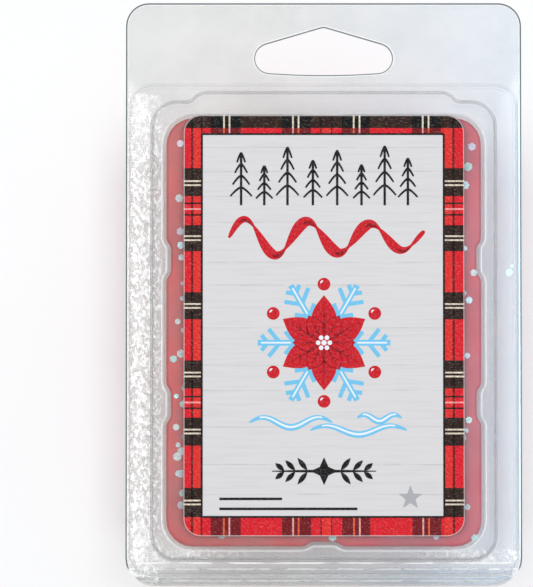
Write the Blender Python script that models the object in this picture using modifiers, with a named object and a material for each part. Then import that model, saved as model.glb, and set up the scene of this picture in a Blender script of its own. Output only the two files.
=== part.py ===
"""A shut clear pack of six scented wax cubes, lying on its back.

The pack is one folded thermoformed sheet. Its tray has six joined cups and holds the wax bar, and its
lid turns on a fold along the bottom edge. Both halves carry the tab with the peg slot. A paper label
is stuck on the lid's raised panel.

The origin is the middle of the pack's base: +Z points from the cups' bottoms to the label, +Y to the
tab, and +X to the label's right.
"""

import math
import random

import bmesh
import bpy

MM = 0.001

# The pack's outline, seen from the label's side
PACK_WIDTH = 72.0 * MM
PACK_LENGTH = 106.0 * MM
CORNER_RADIUS = 4.2 * MM
HALF_WIDTH = PACK_WIDTH / 2
TOP_EDGE = PACK_LENGTH / 2

# The sheet, and the air between pieces that touch in the real pack
SHEET = 0.4 * MM
GAP = 0.3 * MM

# Heights of the lid's top faces: tab, frame and raised panel
LID_TAB = 18.9 * MM
LID_FRAME = 19.7 * MM
LID_PANEL = 22.2 * MM

# Heights of the tray's top faces: tab, frame, rim, web between the cups and cup bottoms
TRAY_TAB = LID_TAB - SHEET - GAP
TRAY_FRAME = LID_FRAME - SHEET - GAP
TRAY_RIM = 21.3 * MM
TRAY_WEB = 12.0 * MM
CUP_FLOOR = SHEET

# The frame's step, just inside the trimmed edge
STEP_HALF_WIDTH = 35.4 * MM
STEP_TOP = 38.3 * MM
STEP_BOTTOM = -51.3 * MM
STEP_RUN = 0.4 * MM
STEP_NEST = 0.5 * MM
STEP_BEND = 0.2 * MM

# The raised panel: straight sides, and a wide tongue at the top between two shoulders
PANEL_HALF_WIDTH = 31.5 * MM
PANEL_BOTTOM = -48.6 * MM
PANEL_SHOULDER = 35.2 * MM
PANEL_TOP = 36.9 * MM
PANEL_TONGUE = 21.4 * MM
PANEL_SLOPE = 3.4 * MM
PANEL_RADIUS = 4.8 * MM
PANEL_RUN = 0.7 * MM
PANEL_BEND = 0.4 * MM
RIM_NEST = 0.7 * MM
RIM_RUN = 0.6 * MM

# The tray's well, waisted between the cups
WELL_HALF_WIDTH = 29.0 * MM
WELL_BOTTOM = -46.3 * MM
WELL_TOP = 32.3 * MM
WELL_RADIUS = 5.2 * MM
WELL_RUN = 0.5 * MM
WAIST_DEPTH = 0.8 * MM
WAIST_DEPTH_AT_WEB = 1.4 * MM
WAIST_LENGTH = 8.2 * MM
WELL_BEND = 0.35 * MM

# The cups, two across and three along
COLUMNS = 2
ROWS = 3
COLUMN_PITCH = 2 * WELL_HALF_WIDTH / COLUMNS
ROW_PITCH = (WELL_TOP - WELL_BOTTOM) / ROWS
CUP_SPACING = 2.0 * MM
CUP_RUN = 1.1 * MM
CUP_RADIUS = 5.0 * MM
CUP_FILLET = 1.4 * MM
CUP_BEND = 0.25 * MM

# The peg slot: a long hole with round ends, a peak at the top and a slightly bowed lower edge
SLOT_END = 9.8 * MM
SLOT_MIDDLE = 42.9 * MM
SLOT_RADIUS = 2.7 * MM
SLOT_PEAK = 48.6 * MM
SLOT_BOW = 0.35 * MM

# The fold that joins tray and lid
FOLD_RADIUS = 0.45 * MM
FOLD_Y = -TOP_EDGE + FOLD_RADIUS
FOLD_Z = TRAY_TAB + GAP / 2
FOLD_LENGTH = 62.0 * MM
LID_LIP = FOLD_Y + 0.7 * MM
TRAY_LIP = FOLD_Y + 0.15 * MM

# The wax bar, which fills the cups and the well up to WAX_TOP
WAX_TOP = 20.7 * MM
WAX_BEND = 0.4 * MM
WAX_INSET = 0.1 * MM

# The glitter on the wax: six-sided flakes, most of them in pairs or threes
FLAKE_GROUPS = 90
FLAKE_RADIUS = (0.55 * MM, 1.1 * MM)
FLAKE_PROUD = (0.10 * MM, 0.20 * MM)
FLAKE_SUNK = 0.3 * MM
FLAKE_EDGE = 0.8 * MM
FLAKE_CLEAR = 0.15 * MM
FLAKE_SEED = 7

# The label
LABEL_WIDTH = 50.8 * MM
LABEL_LENGTH = 76.2 * MM
LABEL_RADIUS = 3.2 * MM
LABEL_THICKNESS = 0.2 * MM
LABEL_Y = -5.85 * MM

ARC_STEPS = 5


def arc(centre, radius, start_degrees, end_degrees, steps=ARC_STEPS):
    """Points from one angle to another on a circle, ends included."""
    turns = [start_degrees + (end_degrees - start_degrees) * i / steps for i in range(steps + 1)]
    return [
        (centre[0] + radius * math.cos(math.radians(turn)), centre[1] + radius * math.sin(math.radians(turn)))
        for turn in turns
    ]


def rounded_rectangle(half_width, bottom, top, radius, middle_x=0.0):
    """An outline that runs anticlockwise from the lower end of the right side."""
    left = middle_x - half_width + radius
    right = middle_x + half_width - radius
    low = bottom + radius
    high = top - radius
    return (
        arc((right, low), radius, -90, 0)
        + arc((right, high), radius, 0, 90)
        + arc((left, high), radius, 90, 180)
        + arc((left, low), radius, 180, 270)
    )


def drawn_in(outline, distance):
    """The outline moved inwards by a distance, corner by corner."""
    moved = []
    for i, (x, y) in enumerate(outline):
        before = outline[i - 1]
        after = outline[(i + 1) % len(outline)]
        into = (math.atan2(y - before[1], x - before[0]), math.atan2(after[1] - y, after[0] - x))
        bend = math.remainder(into[1] - into[0], 2 * math.pi)
        inward = into[0] + bend / 2 + math.pi / 2
        reach = distance / math.cos(bend / 2)
        moved.append((x + reach * math.cos(inward), y + reach * math.sin(inward)))
    return moved


def panel_outline():
    """The raised panel's outline: two shoulders carry the tongue, and soft slopes lead up to it."""
    rise = PANEL_TOP - PANEL_SHOULDER
    slope = [
        (PANEL_TONGUE + back * PANEL_SLOPE, PANEL_SHOULDER + up * rise)
        for back, up in ((1.0, 0.0), (0.75, 0.1), (0.25, 0.9), (0.0, 1.0))
    ]
    right_side = (
        arc((PANEL_HALF_WIDTH - PANEL_RADIUS, PANEL_BOTTOM + PANEL_RADIUS), PANEL_RADIUS, -90, 0)
        + arc((PANEL_HALF_WIDTH - PANEL_RADIUS, PANEL_SHOULDER - PANEL_RADIUS), PANEL_RADIUS, 0, 90)
        + slope
    )
    return right_side + [(-x, y) for x, y in reversed(right_side)]


def waist(depth):
    """Along and in, from one end of a waist to the other: a flat between two soft slopes."""
    half = WAIST_LENGTH / 2
    slope = WAIST_LENGTH / 4
    first = [
        (-half + along * slope, into * depth) for along, into in ((0.0, 0.0), (0.35, 0.15), (0.7, 0.85), (1.1, 1.0))
    ]
    return first + [(-along, into) for along, into in reversed(first)]


def well_outline(waist_depth):
    """The well's outline: a rounded rectangle, drawn in where two cups meet its side."""
    row_joints = [WELL_BOTTOM + ROW_PITCH * row for row in range(1, ROWS)]
    dip = waist(waist_depth)
    right = WELL_HALF_WIDTH - WELL_RADIUS
    low = WELL_BOTTOM + WELL_RADIUS
    high = WELL_TOP - WELL_RADIUS
    right_side = [(along, WELL_BOTTOM + into) for along, into in dip]
    right_side += arc((right, low), WELL_RADIUS, -90, 0)
    for joint in row_joints:
        right_side += [(WELL_HALF_WIDTH - into, joint + along) for along, into in dip]
    right_side += arc((right, high), WELL_RADIUS, 0, 90)
    left_side = [(-along, WELL_TOP - into) for along, into in dip]
    left_side += arc((-right, high), WELL_RADIUS, 90, 180)
    for joint in reversed(row_joints):
        left_side += [(-WELL_HALF_WIDTH + into, joint - along) for along, into in dip]
    left_side += arc((-right, low), WELL_RADIUS, 180, 270)
    return right_side + left_side


def slot_outline():
    """The peg slot: two round ends, slopes that rise to the peak, and a bowed lower edge."""
    rise = SLOT_PEAK - SLOT_MIDDLE
    slope = math.atan2(rise, SLOT_END) - math.asin(SLOT_RADIUS / math.hypot(rise, SLOT_END))
    right_end = arc((SLOT_END, SLOT_MIDDLE), SLOT_RADIUS, -90, 90 - math.degrees(slope), ARC_STEPS + 2)
    bow = []
    for across in (-0.5, 0.0, 0.5):
        bow.append((SLOT_END * across, SLOT_MIDDLE - SLOT_RADIUS - SLOT_BOW * (1 - across * across)))
    return bow + right_end + [(0.0, SLOT_PEAK)] + [(-x, y) for x, y in reversed(right_end)]


def cup_outlines(inset):
    """One outline for each cup, drawn in by inset from its mouth."""
    half_width = (COLUMN_PITCH - CUP_SPACING) / 2
    half_length = (ROW_PITCH - CUP_SPACING) / 2
    outlines = []
    for row in range(ROWS):
        middle_y = WELL_BOTTOM + ROW_PITCH * (row + 0.5)
        for column in range(COLUMNS):
            middle_x = -WELL_HALF_WIDTH + COLUMN_PITCH * (column + 0.5)
            mouth = rounded_rectangle(
                half_width, middle_y - half_length, middle_y + half_length, CUP_RADIUS, middle_x
            )
            outlines.append(drawn_in(mouth, inset))
    return outlines


def add_ring(bm, outline, height):
    """One closed ring of vertices."""
    return [bm.verts.new((x, y, height)) for x, y in outline]


def add_wall(bm, outer, inner):
    """A band of four-sided faces between two rings of the same length."""
    count = len(outer)
    for i in range(count):
        j = (i + 1) % count
        bm.faces.new((outer[i], outer[j], inner[j], inner[i]))


def ring_edges(bm, ring):
    """The edges round a ring, made where they don't exist yet."""
    edges = []
    for i, vertex in enumerate(ring):
        after = ring[(i + 1) % len(ring)]
        edges.append(bm.edges.get((vertex, after)) or bm.edges.new((vertex, after)))
    return edges


def bent_wall(run, low, high, bend):
    """Inset and height of four rings up a wall, whose foot and top edge are bent over a short way."""
    length = math.hypot(run, high - low)
    along = bend * run / length
    rise = bend * (high - low) / length
    return (-bend, low), (along, low + rise), (run - along, high - rise), (run + bend, high)


def add_bent_wall(bm, outline, insets_and_heights):
    """A wall of rings drawn in from one outline. Returns the first ring and the last."""
    rings = [add_ring(bm, drawn_in(outline, inset), height) for inset, height in insets_and_heights]
    for below, above in zip(rings, rings[1:]):
        add_wall(bm, below, above)
    return rings[0], rings[-1]


def add_flat(bm, outer, holes=()):
    """A level face inside the outer ring, left open inside the holes."""
    edges = ring_edges(bm, outer)
    for hole in holes:
        edges += ring_edges(bm, hole)
    bmesh.ops.triangle_fill(bm, use_beauty=True, use_dissolve=False, edges=edges, normal=(0, 0, 1))


def finish_mesh(bm, name, material):
    """An object from the built mesh, with its faces pointing one way."""
    bmesh.ops.recalc_face_normals(bm, faces=bm.faces)
    mesh = bpy.data.meshes.new(name)
    bm.to_mesh(mesh)
    bm.free()
    mesh.materials.append(material)
    obj = bpy.data.objects.new(name, mesh)
    collection_of_parts().objects.link(obj)
    return obj


def collection_of_parts():
    """The collection that holds the pack's pieces."""
    name = "wax_melt_pack"
    if name not in bpy.data.collections:
        bpy.context.scene.collection.children.link(bpy.data.collections.new(name))
    return bpy.data.collections[name]


def make_material(name, colour, roughness, alpha=1.0):
    """A Principled material with one colour."""
    material = bpy.data.materials.new(name)
    material.use_nodes = True
    shader = material.node_tree.nodes["Principled BSDF"]
    shader.inputs["Base Color"].default_value = (*colour, 1.0)
    shader.inputs["Roughness"].default_value = roughness
    shader.inputs["Metallic"].default_value = 0.0
    shader.inputs["Alpha"].default_value = alpha
    return material


def face_sheet_up(obj):
    """Turns an open sheet over if its level faces point down."""
    up = sum(face.normal.z * face.area for face in obj.data.polygons)
    if up < 0:
        obj.data.flip_normals()


def thicken(obj):
    """Gives an open sheet its thickness, below and outside the modelled surface."""
    face_sheet_up(obj)
    solidify = obj.modifiers.new("sheet_thickness", "SOLIDIFY")
    solidify.thickness = SHEET
    solidify.offset = -1.0
    solidify.use_even_offset = True


def frame_rings(bm, lip, tab, frame, nest):
    """The trimmed edge, the peg slot and the step up to the frame. Returns the frame's outer ring."""
    edge = add_ring(bm, rounded_rectangle(HALF_WIDTH, lip, TOP_EDGE, CORNER_RADIUS), tab)
    slot = add_ring(bm, slot_outline(), tab)
    step = drawn_in(rounded_rectangle(STEP_HALF_WIDTH, STEP_BOTTOM, STEP_TOP, CORNER_RADIUS), nest)
    foot, top = add_bent_wall(bm, step, bent_wall(STEP_RUN, tab, frame, STEP_BEND))
    add_flat(bm, edge, (slot, foot))
    return top


def make_lid(material):
    """The lid: a framed tab and a raised panel."""
    bm = bmesh.new()
    frame = frame_rings(bm, LID_LIP, LID_TAB, LID_FRAME, 0.0)
    wall = bent_wall(PANEL_RUN, LID_FRAME, LID_PANEL, PANEL_BEND)
    panel_foot, panel_edge = add_bent_wall(bm, panel_outline(), wall)
    add_flat(bm, frame, (panel_foot,))
    add_flat(bm, panel_edge)
    lid = finish_mesh(bm, "lid", material)
    thicken(lid)
    return lid


def well_profile(rim, web):
    """The well's outlines from its bent edge at the rim to its foot at the web."""
    edge = well_outline(WAIST_DEPTH)
    foot = drawn_in(well_outline(WAIST_DEPTH_AT_WEB), WELL_RUN)
    return (drawn_in(edge, -WELL_BEND), rim), (edge, rim - WELL_BEND), (foot, web)


def cup_rings(bm, outlines_and_heights):
    """The walls and floor of every cup. Returns the ring round each mouth."""
    mouths = []
    for cup in range(ROWS * COLUMNS):
        rings = [add_ring(bm, outlines[cup], height) for outlines, height in outlines_and_heights]
        for upper, lower in zip(rings, rings[1:]):
            add_wall(bm, upper, lower)
        add_flat(bm, rings[-1])
        mouths.append(rings[0])
    return mouths


def cup_profile(mouth, floor, inset):
    """A cup's outlines from its bent mouth to its rounded foot. Inset draws it all in."""
    base = inset + CUP_RUN
    profile = [(inset - CUP_BEND, mouth), (inset, mouth - CUP_BEND)]
    for turn in (0, 30, 60, 90):
        across = CUP_FILLET * (1 - math.cos(math.radians(turn)))
        up = CUP_FILLET * (1 - math.sin(math.radians(turn)))
        profile.append((base + across, floor + up))
    return [(cup_outlines(along), height) for along, height in profile]


def make_fold():
    """The closed fold of sheet along the bottom edge, as a round bead."""
    bpy.ops.mesh.primitive_cylinder_add(
        vertices=12,
        radius=FOLD_RADIUS,
        depth=FOLD_LENGTH,
        location=(0.0, FOLD_Y, FOLD_Z),
        rotation=(0.0, math.radians(90), 0.0),
    )
    fold = bpy.context.object
    fold.name = "fold"
    return fold


def make_tray(material):
    """The tray: a framed tab, a rim that nests in the lid's panel, and the well with its six cups."""
    bm = bmesh.new()
    frame = frame_rings(bm, TRAY_LIP, TRAY_TAB, TRAY_FRAME, STEP_NEST)
    rim = drawn_in(panel_outline(), RIM_NEST)
    rim_foot, rim_edge = add_bent_wall(bm, rim, bent_wall(RIM_RUN, TRAY_FRAME, TRAY_RIM, PANEL_BEND))
    add_flat(bm, frame, (rim_foot,))
    well_rings = [add_ring(bm, outline, height) for outline, height in well_profile(TRAY_RIM, TRAY_WEB)]
    for above, below in zip(well_rings, well_rings[1:]):
        add_wall(bm, above, below)
    add_flat(bm, rim_edge, (well_rings[0],))
    add_flat(bm, well_rings[-1], cup_rings(bm, cup_profile(TRAY_WEB, CUP_FLOOR, 0.0)))
    tray = finish_mesh(bm, "tray", material)
    thicken(tray)
    join_to(tray, [make_fold()], "EXACT")
    return tray


def join_to(obj, others, solver):
    """Fuses the other objects to obj with one Boolean union, and removes them."""
    joined = bpy.data.collections.new(obj.name + "_joined")
    bpy.context.scene.collection.children.link(joined)
    for other in others:
        for holder in list(other.users_collection):
            holder.objects.unlink(other)
        joined.objects.link(other)
    union = obj.modifiers.new("union", "BOOLEAN")
    union.operation = "UNION"
    union.operand_type = "COLLECTION"
    union.collection = joined
    union.solver = solver
    bpy.context.view_layer.update()
    evaluated = obj.evaluated_get(bpy.context.evaluated_depsgraph_get())
    whole = bpy.data.meshes.new_from_object(evaluated)
    obj.modifiers.clear()
    obj.data = whole
    for other in others:
        bpy.data.objects.remove(other)
    bpy.data.collections.remove(joined)


def flake_places():
    """Middle, radius, turn and height of every flake, drawn in groups that don't overlap."""
    draw = random.Random(FLAKE_SEED)
    reach_x = WELL_HALF_WIDTH - WELL_RUN - FLAKE_EDGE - FLAKE_RADIUS[1]
    low = WELL_BOTTOM + WELL_RUN + FLAKE_EDGE + FLAKE_RADIUS[1]
    high = WELL_TOP - WELL_RUN - FLAKE_EDGE - FLAKE_RADIUS[1]
    places = []
    for _ in range(FLAKE_GROUPS):
        middle = (draw.uniform(-reach_x, reach_x), draw.uniform(low, high))
        for _ in range(draw.choice((1, 1, 2, 2, 3))):
            radius = draw.uniform(*FLAKE_RADIUS)
            bearing = draw.uniform(0, 2 * math.pi)
            away = draw.uniform(1.5, 2.2) * radius
            x = middle[0] + away * math.cos(bearing)
            y = middle[1] + away * math.sin(bearing)
            inside = abs(x) < reach_x and low < y < high
            clear = all(math.hypot(x - a, y - b) > radius + r + FLAKE_CLEAR for a, b, r, _, _ in places)
            if inside and clear:
                places.append((x, y, radius, draw.uniform(0, math.pi / 3), draw.uniform(*FLAKE_PROUD)))
    return places


def make_flakes():
    """The flakes as thin six-sided plates, sunk in the wax's top."""
    flakes = []
    for x, y, radius, turn, proud in flake_places():
        bpy.ops.mesh.primitive_cylinder_add(
            vertices=6,
            radius=radius,
            depth=proud + FLAKE_SUNK,
            location=(x, y, WAX_TOP + (proud - FLAKE_SUNK) / 2),
            rotation=(0.0, 0.0, turn),
        )
        flakes.append(bpy.context.object)
    return flakes


def make_wax_bar(material):
    """The bar of six joined wax cubes that fills the tray, with its glitter fused on."""
    bm = bmesh.new()
    side = drawn_in(well_outline(WAIST_DEPTH), GAP + WAX_INSET)
    top = add_ring(bm, drawn_in(side, WAX_BEND), WAX_TOP)
    edge = add_ring(bm, side, WAX_TOP - WAX_BEND)
    foot = add_ring(bm, drawn_in(well_outline(WAIST_DEPTH_AT_WEB), WELL_RUN + GAP), TRAY_WEB + GAP)
    add_flat(bm, top)
    add_wall(bm, top, edge)
    add_wall(bm, edge, foot)
    add_flat(bm, foot, cup_rings(bm, cup_profile(TRAY_WEB + GAP, CUP_FLOOR + GAP, GAP)))
    wax_bar = finish_mesh(bm, "wax_bar", material)
    join_to(wax_bar, make_flakes(), "EXACT")
    return wax_bar


def make_label(material):
    """The paper label: a flat outline with round corners."""
    curve = bpy.data.curves.new("label", "CURVE")
    curve.dimensions = "2D"
    curve.fill_mode = "BOTH"
    curve.extrude = LABEL_THICKNESS / 2
    outline = rounded_rectangle(LABEL_WIDTH / 2, -LABEL_LENGTH / 2, LABEL_LENGTH / 2, LABEL_RADIUS)
    spline = curve.splines.new("POLY")
    spline.points.add(len(outline) - 1)
    for point, (x, y) in zip(spline.points, outline):
        point.co = (x, y, 0.0, 1.0)
    spline.use_cyclic_u = True
    curve.materials.append(material)
    label = bpy.data.objects.new("label", curve)
    label.location = (0.0, LABEL_Y, LID_PANEL + GAP + LABEL_THICKNESS / 2)
    collection_of_parts().objects.link(label)
    return label


def hang_on_fold(pieces):
    """Parents the lid's pieces to an empty on the fold's axis, where they turn."""
    fold = bpy.data.objects.new("lid_fold", None)
    fold.location = (0.0, FOLD_Y, FOLD_Z)
    collection_of_parts().objects.link(fold)
    bpy.context.view_layer.update()
    for piece in pieces:
        piece.parent = fold
        piece.matrix_parent_inverse = fold.matrix_world.inverted()


def main():
    """Builds the pack's four pieces."""
    for obj in list(bpy.data.objects):
        bpy.data.objects.remove(obj)
    clear_sheet = make_material("clear_sheet", (0.86, 0.88, 0.89), 0.12, 0.3)
    red_wax = make_material("red_wax", (0.62, 0.01, 0.03), 0.35)
    label_paper = make_material("label_paper", (0.86, 0.86, 0.87), 0.45)
    make_tray(clear_sheet)
    make_wax_bar(red_wax)
    hang_on_fold((make_lid(clear_sheet), make_label(label_paper)))


main()
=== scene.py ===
"""The looks of a shut clear clamshell pack of red scented wax, lying on its back with its label up.

The pack is one folded thermoformed sheet: a tray with six joined cups, and a lid with a raised panel. It
holds a bar of red wax with glitter, and a label with a plaid edge is stuck on the panel.
"""

import logging
import math
from collections.abc import Sequence
from dataclasses import dataclass
from enum import Enum

import bmesh
import bpy
import numpy as np
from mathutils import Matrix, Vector
from mathutils.geometry import delaunay_2d_cdt

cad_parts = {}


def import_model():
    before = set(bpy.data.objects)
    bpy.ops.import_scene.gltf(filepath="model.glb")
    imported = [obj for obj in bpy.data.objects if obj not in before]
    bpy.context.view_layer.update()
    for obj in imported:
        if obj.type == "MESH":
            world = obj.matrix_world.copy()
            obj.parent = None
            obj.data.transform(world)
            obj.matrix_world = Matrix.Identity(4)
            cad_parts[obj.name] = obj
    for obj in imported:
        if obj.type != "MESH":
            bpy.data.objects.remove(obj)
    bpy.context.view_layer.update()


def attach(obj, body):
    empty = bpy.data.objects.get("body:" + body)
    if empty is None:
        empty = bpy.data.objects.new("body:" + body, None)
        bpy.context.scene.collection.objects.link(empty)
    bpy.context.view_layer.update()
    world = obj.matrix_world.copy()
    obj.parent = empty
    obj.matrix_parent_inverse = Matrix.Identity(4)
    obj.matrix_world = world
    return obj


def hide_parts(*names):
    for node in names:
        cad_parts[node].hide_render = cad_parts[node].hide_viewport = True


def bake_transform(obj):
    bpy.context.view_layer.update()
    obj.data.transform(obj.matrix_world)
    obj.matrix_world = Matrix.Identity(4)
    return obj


LOG = logging.getLogger("wax_melt_pack")
MM = 0.001

# Points nearer than this are one, and the fill's option that keeps only the triangles inside
SAME_PLACE = 1e-5 * MM
INSIDE_TRIANGLES = 1

# Where a wall has its two middle rows, their shade, and the power that keeps the shade near the bends
WALL_ROWS = np.array([[0.15], [0.85]])
WALL_SHADE = 0.8
SHADE_POWER = 3

Span = tuple[float, float]
Colour = tuple[float, float, float]
Point = tuple[float, float, float]
Socket = bpy.types.NodeSocket
Value = Socket | float | Colour


class Body(Enum):
    """The pack's moving bodies."""

    TRAY = "tray_body"
    LID = "lid_body"


class Slot(Enum):
    """The material slots."""

    TRAY = "clear_sheet_tray"
    LID = "clear_sheet_lid"
    WAX = "red_wax"
    LABEL = "label_paper"


# Outlines and profiles


@dataclass(frozen=True)
class Outline:
    """A closed outline of arcs joined by straight lines, run anticlockwise.

    arcs has one row an arc: middle x, middle y, radius, first angle and last angle in radians. An arc
    whose angle grows bulges out, and one whose angle falls bulges in.
    """

    arcs: np.ndarray
    steps: int = 12

    def drawn_in(self, distances: np.ndarray) -> np.ndarray:
        """The outline moved inwards by each of several distances.

        A point is the arc's middle plus a reach along the angle. The reach is the radius less the
        distance where the arc bulges out, and the radius plus the distance where it bulges in. Where
        two arcs meet, the doubled point is left out.

        Args:
            distances: how far to move in, one number a ring.

        Returns:
            An array of rings by points by 2.
        """
        middle_x, middle_y, radius, first, last = self.arcs.T
        reach = radius - np.sign(last - first) * np.asarray(distances, float)[:, None]
        share = np.linspace(0.0, 1.0, self.steps + 1)
        angle = first[:, None] + (last - first)[:, None] * share
        x = middle_x[:, None] + reach[:, :, None] * np.cos(angle)
        y = middle_y[:, None] + reach[:, :, None] * np.sin(angle)
        rings = np.stack((x, y), axis=-1).reshape(len(reach), -1, 2)
        apart = np.linalg.norm(rings - np.roll(rings, 1, axis=1), axis=-1).max(axis=0) > SAME_PLACE
        return rings[:, apart]


def arc_row(x: float, y: float, radius: float, first: float, last: float) -> list[float]:
    """One arc's row, with its angles given in degrees."""
    return [x, y, radius, math.radians(first), math.radians(last)]


def rounded_box(left: float, right: float, low: float, high: float, radius: float) -> Outline:
    """A rectangle with four round corners: a quarter circle at each.

    Args:
        left: the left side's x.
        right: the right side's x.
        low: the lower side's y.
        high: the upper side's y.
        radius: the corners' radius.

    Returns:
        The outline.
    """
    return Outline(
        np.array(
            [
                arc_row(right - radius, low + radius, radius, -90, 0),
                arc_row(right - radius, high - radius, radius, 0, 90),
                arc_row(left + radius, high - radius, radius, 90, 180),
                arc_row(left + radius, low + radius, radius, 180, 270),
            ]
        )
    )


def mirrored(arcs: np.ndarray) -> np.ndarray:
    """The arcs mirrored left to right, in the order that keeps the outline running anticlockwise."""
    middle_x, middle_y, radius, first, last = arcs[::-1].T
    return np.stack((-middle_x, middle_y, radius, np.pi - last, np.pi - first), axis=-1)


def turned(arcs: np.ndarray, heading: float, start: Span) -> np.ndarray:
    """Arcs laid out along +x, turned to a heading and moved.

    A middle's x is the distance along times the heading's cosine less the distance in times its sine,
    and its y is the first times the sine plus the second times the cosine.

    Args:
        arcs: the arcs' rows.
        heading: the way that they run to, in radians.
        start: where their origin goes.

    Returns:
        The arcs' new rows.
    """
    along, into, radius, first, last = arcs.T
    x = start[0] + along * math.cos(heading) - into * math.sin(heading)
    y = start[1] + along * math.sin(heading) + into * math.cos(heading)
    return np.stack((x, y, radius, first + heading, last + heading), axis=-1)


def bent_wall(start: Span, end: Span, radii: Span, steps: int = 6) -> np.ndarray:
    """The profile of a wall between two level faces, with a rounded bend at each end.

    The wall runs straight from start to end. Each bend is a part of a circle that touches the level face
    and the wall, so it sets off at the radius times the tangent of half the wall's angle.

    Args:
        start: how far in and how high the wall starts.
        end: how far in and how high it ends.
        radii: the radius of the bend at the start and at the end.
        steps: the faces along each bend.

    Returns:
        Rows of how far in, how high, and how much shade the point takes, from 0 on the level to 1 at the
        steep end of a bend. Two rows on the straight wall have less.
    """
    rise = end[1] - start[1]
    way = math.copysign(1.0, rise)
    angle = math.atan2(abs(rise), end[0] - start[0])
    turn = np.linspace(0.0, angle, steps + 1)
    bends = []
    for (inwards, height), radius, side in ((start, radii[0], 1), (end, radii[1], -1)):
        set_off = radius * math.tan(angle / 2)
        further = inwards + side * (radius * np.sin(turn) - set_off)
        higher = height + side * way * radius * (1 - np.cos(turn))
        bends.append(np.stack((further, higher, turn / angle), axis=-1))
    wall = bends[0][-1] + (bends[1][-1] - bends[0][-1]) * WALL_ROWS
    wall[:, 2] = WALL_SHADE
    return np.concatenate((bends[0], wall, bends[1][::-1]))


def lifted(flat: np.ndarray, height: np.ndarray | float) -> np.ndarray:
    """Points on the plane given a height: one for all, or an array that fits their shape."""
    return np.concatenate((flat, np.broadcast_to(height, (*flat.shape[:-1], 1))), axis=-1)


def bearing(degrees: float) -> np.ndarray:
    """The unit vector that points to a bearing: its cosine and its sine."""
    return np.array((math.cos(math.radians(degrees)), math.sin(math.radians(degrees))))


def circle(x: float, y: float, radius: float, count: int = 36) -> np.ndarray:
    """Points round a circle."""
    angle = np.arange(count) * 2 * math.pi / count
    return np.stack((x + radius * np.cos(angle), y + radius * np.sin(angle)), axis=-1)


def pointed(x: float, y: float, long: float, short: float, points: int, turn: float = 90.0) -> np.ndarray:
    """A star: corners on two circles in turn, at equal angles.

    Args:
        x: the middle's x.
        y: the middle's y.
        long: the tips' radius.
        short: the radius of the corners between them.
        points: how many tips.
        turn: the first tip's bearing in degrees.

    Returns:
        The corners, anticlockwise.
    """
    corner = np.arange(2 * points)
    angle = math.radians(turn) + corner * math.pi / points
    reach = np.where(corner % 2 == 0, long, short)
    return np.stack((x + reach * np.cos(angle), y + reach * np.sin(angle)), axis=-1)


def leaf(x: float, y: float, length: float, width: float, turn: float, count: int = 14) -> np.ndarray:
    """A leaf: two bows between two tips, each half the width times the sine of the way along.

    Args:
        x: the root's x.
        y: the root's y.
        length: from root to tip.
        width: across the middle.
        turn: the tip's bearing in degrees.
        count: the points along each bow.

    Returns:
        The points, anticlockwise.
    """
    share = np.linspace(0.0, 1.0, count)
    bow = width / 2 * np.sin(math.pi * share)
    along = np.concatenate((share, share[-2:0:-1])) * length
    across = np.concatenate((-bow, bow[-2:0:-1]))
    ahead_x, ahead_y = bearing(turn)
    return np.stack((x + along * ahead_x - across * ahead_y, y + along * ahead_y + across * ahead_x), axis=-1)


# Meshes


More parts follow.
